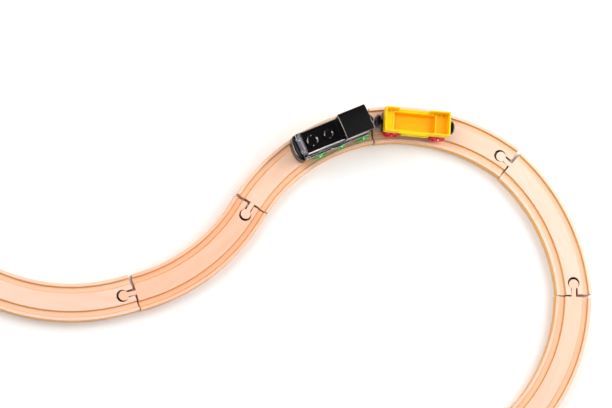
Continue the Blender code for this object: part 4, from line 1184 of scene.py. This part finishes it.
# %% [markdown]
# ## The works
# Chassis, underframe, axles, motor, gears, cell and screws are good enough as the CAD made them, because
# little of them shows. They only get finishes, by the material slot that the record gives each node.

# %% Paint what stays visible of the CAD

PAINTS = {
    "gloss_black": plastic("frame_black", rgba((18, 15, 16)), 0.3),
    "matte_black": ROOF,
    "lilac_grey": LILAC,
    "clear_lens": LENS,
    "green": GREEN,
    "red": RED,
    "yellow": YELLOW,
    "steel": STEEL,
    "brass": metal("brass", (0.78, 0.58, 0.27, 1.0), 0.3),
    "nylon": plastic("nylon", rgba((232, 230, 222)), 0.5),
    "cell_jacket": plastic("cell_jacket", rgba((120, 126, 134)), 0.3),
    "circuit_board": plastic("circuit_board", rgba((18, 110, 58)), 0.45),
}
slots = {part["node"]: part["material_slot"] for part in frame["record"]["subparts"]}
painted = 0
for name, node in nodes.items():
    if node.hide_render:
        continue
    node.data.materials.clear()
    node.data.materials.append(PAINTS[slots[name]])
    painted += 1
print(f"made {len(made)} pieces, painted {painted} CAD nodes")

# %% [markdown]
# ## Studio
# A pale floor, soft lights from the upper left and the right, three that only show as glints on edges,
# and an even white sky. One sun would give hard shadows, which a product picture avoids. The camera is
# far away with a long lens, so the picture is nearly a plan.

# %% Floor, lights and camera

FLOOR_SIZE = 4.0
SKY = 0.64
TRAIN = (0.09, 0.17, 0)


def build_floor():
    """A wide plain floor just under the track."""
    mesh = bpy.data.meshes.new("floor")
    corners = [(x * FLOOR_SIZE, y * FLOOR_SIZE, 0) for x, y in ((-1, -1), (1, -1), (1, 1), (-1, 1))]
    mesh.from_pydata(corners, [], [(0, 1, 2, 3)])
    floor = bpy.data.objects.new("floor", mesh)
    bpy.context.scene.collection.objects.link(floor)
    material, shader, point = start_material("floor_paper")
    shade = point.noise(3.0, 2, 0.5).between((0.93, 0.93, 0.93, 1.0), (0.95, 0.95, 0.95, 1.0))
    feed(point, shader, Base_Color=shade, Roughness=0.9, Specular_IOR_Level=0.0)
    mesh.materials.append(material)


def area_light(name, place, target, size, power, edges_only=False):
    """Square soft light that looks at a target. For edges only, it just shows in gloss."""
    data = bpy.data.lights.new(name, "AREA")
    data.shape = "SQUARE"
    data.size = size
    data.energy = power
    light = bpy.data.objects.new(name, data)
    light.visible_diffuse = not edges_only
    light.location = place
    light.rotation_euler = (Vector(target) - Vector(place)).to_track_quat("-Z", "Y").to_euler()
    bpy.context.scene.collection.objects.link(light)


def build_world(strength):
    """Even white sky for soft light. Gloss sees it dim overhead and brighter at the horizon."""
    world = bpy.data.worlds.new("studio")
    world.use_nodes = True
    tree = world.node_tree
    start = Wire(tree, tree.nodes.new("ShaderNodeTexCoord").outputs["Generated"])
    up = start.node("ShaderNodeSeparateXYZ", {"Vector": start}, output=2)
    low = 1 - up.ramp(0.0, 0.6)
    mirror = start.node("ShaderNodeLightPath", output="Is Glossy Ray")
    level = (1 - mirror) * strength + mirror * (0.06 + 0.22 * low)
    tree.links.new(level.socket, tree.nodes["Background"].inputs["Strength"])
    tree.nodes["Background"].inputs["Color"].default_value = (1, 1, 1, 1)
    bpy.context.scene.world = world


def build_camera():
    """Camera where the outline of the track meets the picture."""
    data = bpy.data.cameras.new("camera")
    data.sensor_width = 36
    data.lens = 177.53
    data.clip_end = 20
    camera = bpy.data.objects.new("camera", data)
    camera.location = (-0.70870, -0.39854, 3.15445)
    camera.rotation_euler = (math.radians(11.5926), math.radians(-11.1225), math.radians(-12.8860))
    bpy.context.scene.collection.objects.link(camera)
    bpy.context.scene.camera = camera


build_floor()
build_world(SKY)
area_light("upper_left", (-0.62, 0.75, 1.1), (-0.05, 0, 0), 0.9, 8.2)
area_light("right", (1.0, 0.2, 0.75), (0.1, 0, 0), 0.9, 8.7)
area_light("near_edge", (0.55, -1.15, 0.5), TRAIN, 0.4, 36, True)
area_light("front_edge", (-1.2, 0.08, 0.9), TRAIN, 0.8, 50, True)
area_light("rear_edge", (1.27, 0.35, 0.85), TRAIN, 0.8, 60, True)
build_camera()
bpy.context.scene.view_settings.view_transform = "Standard"
print(f"stage: {len(bpy.data.lights)} lights, a floor and a camera")
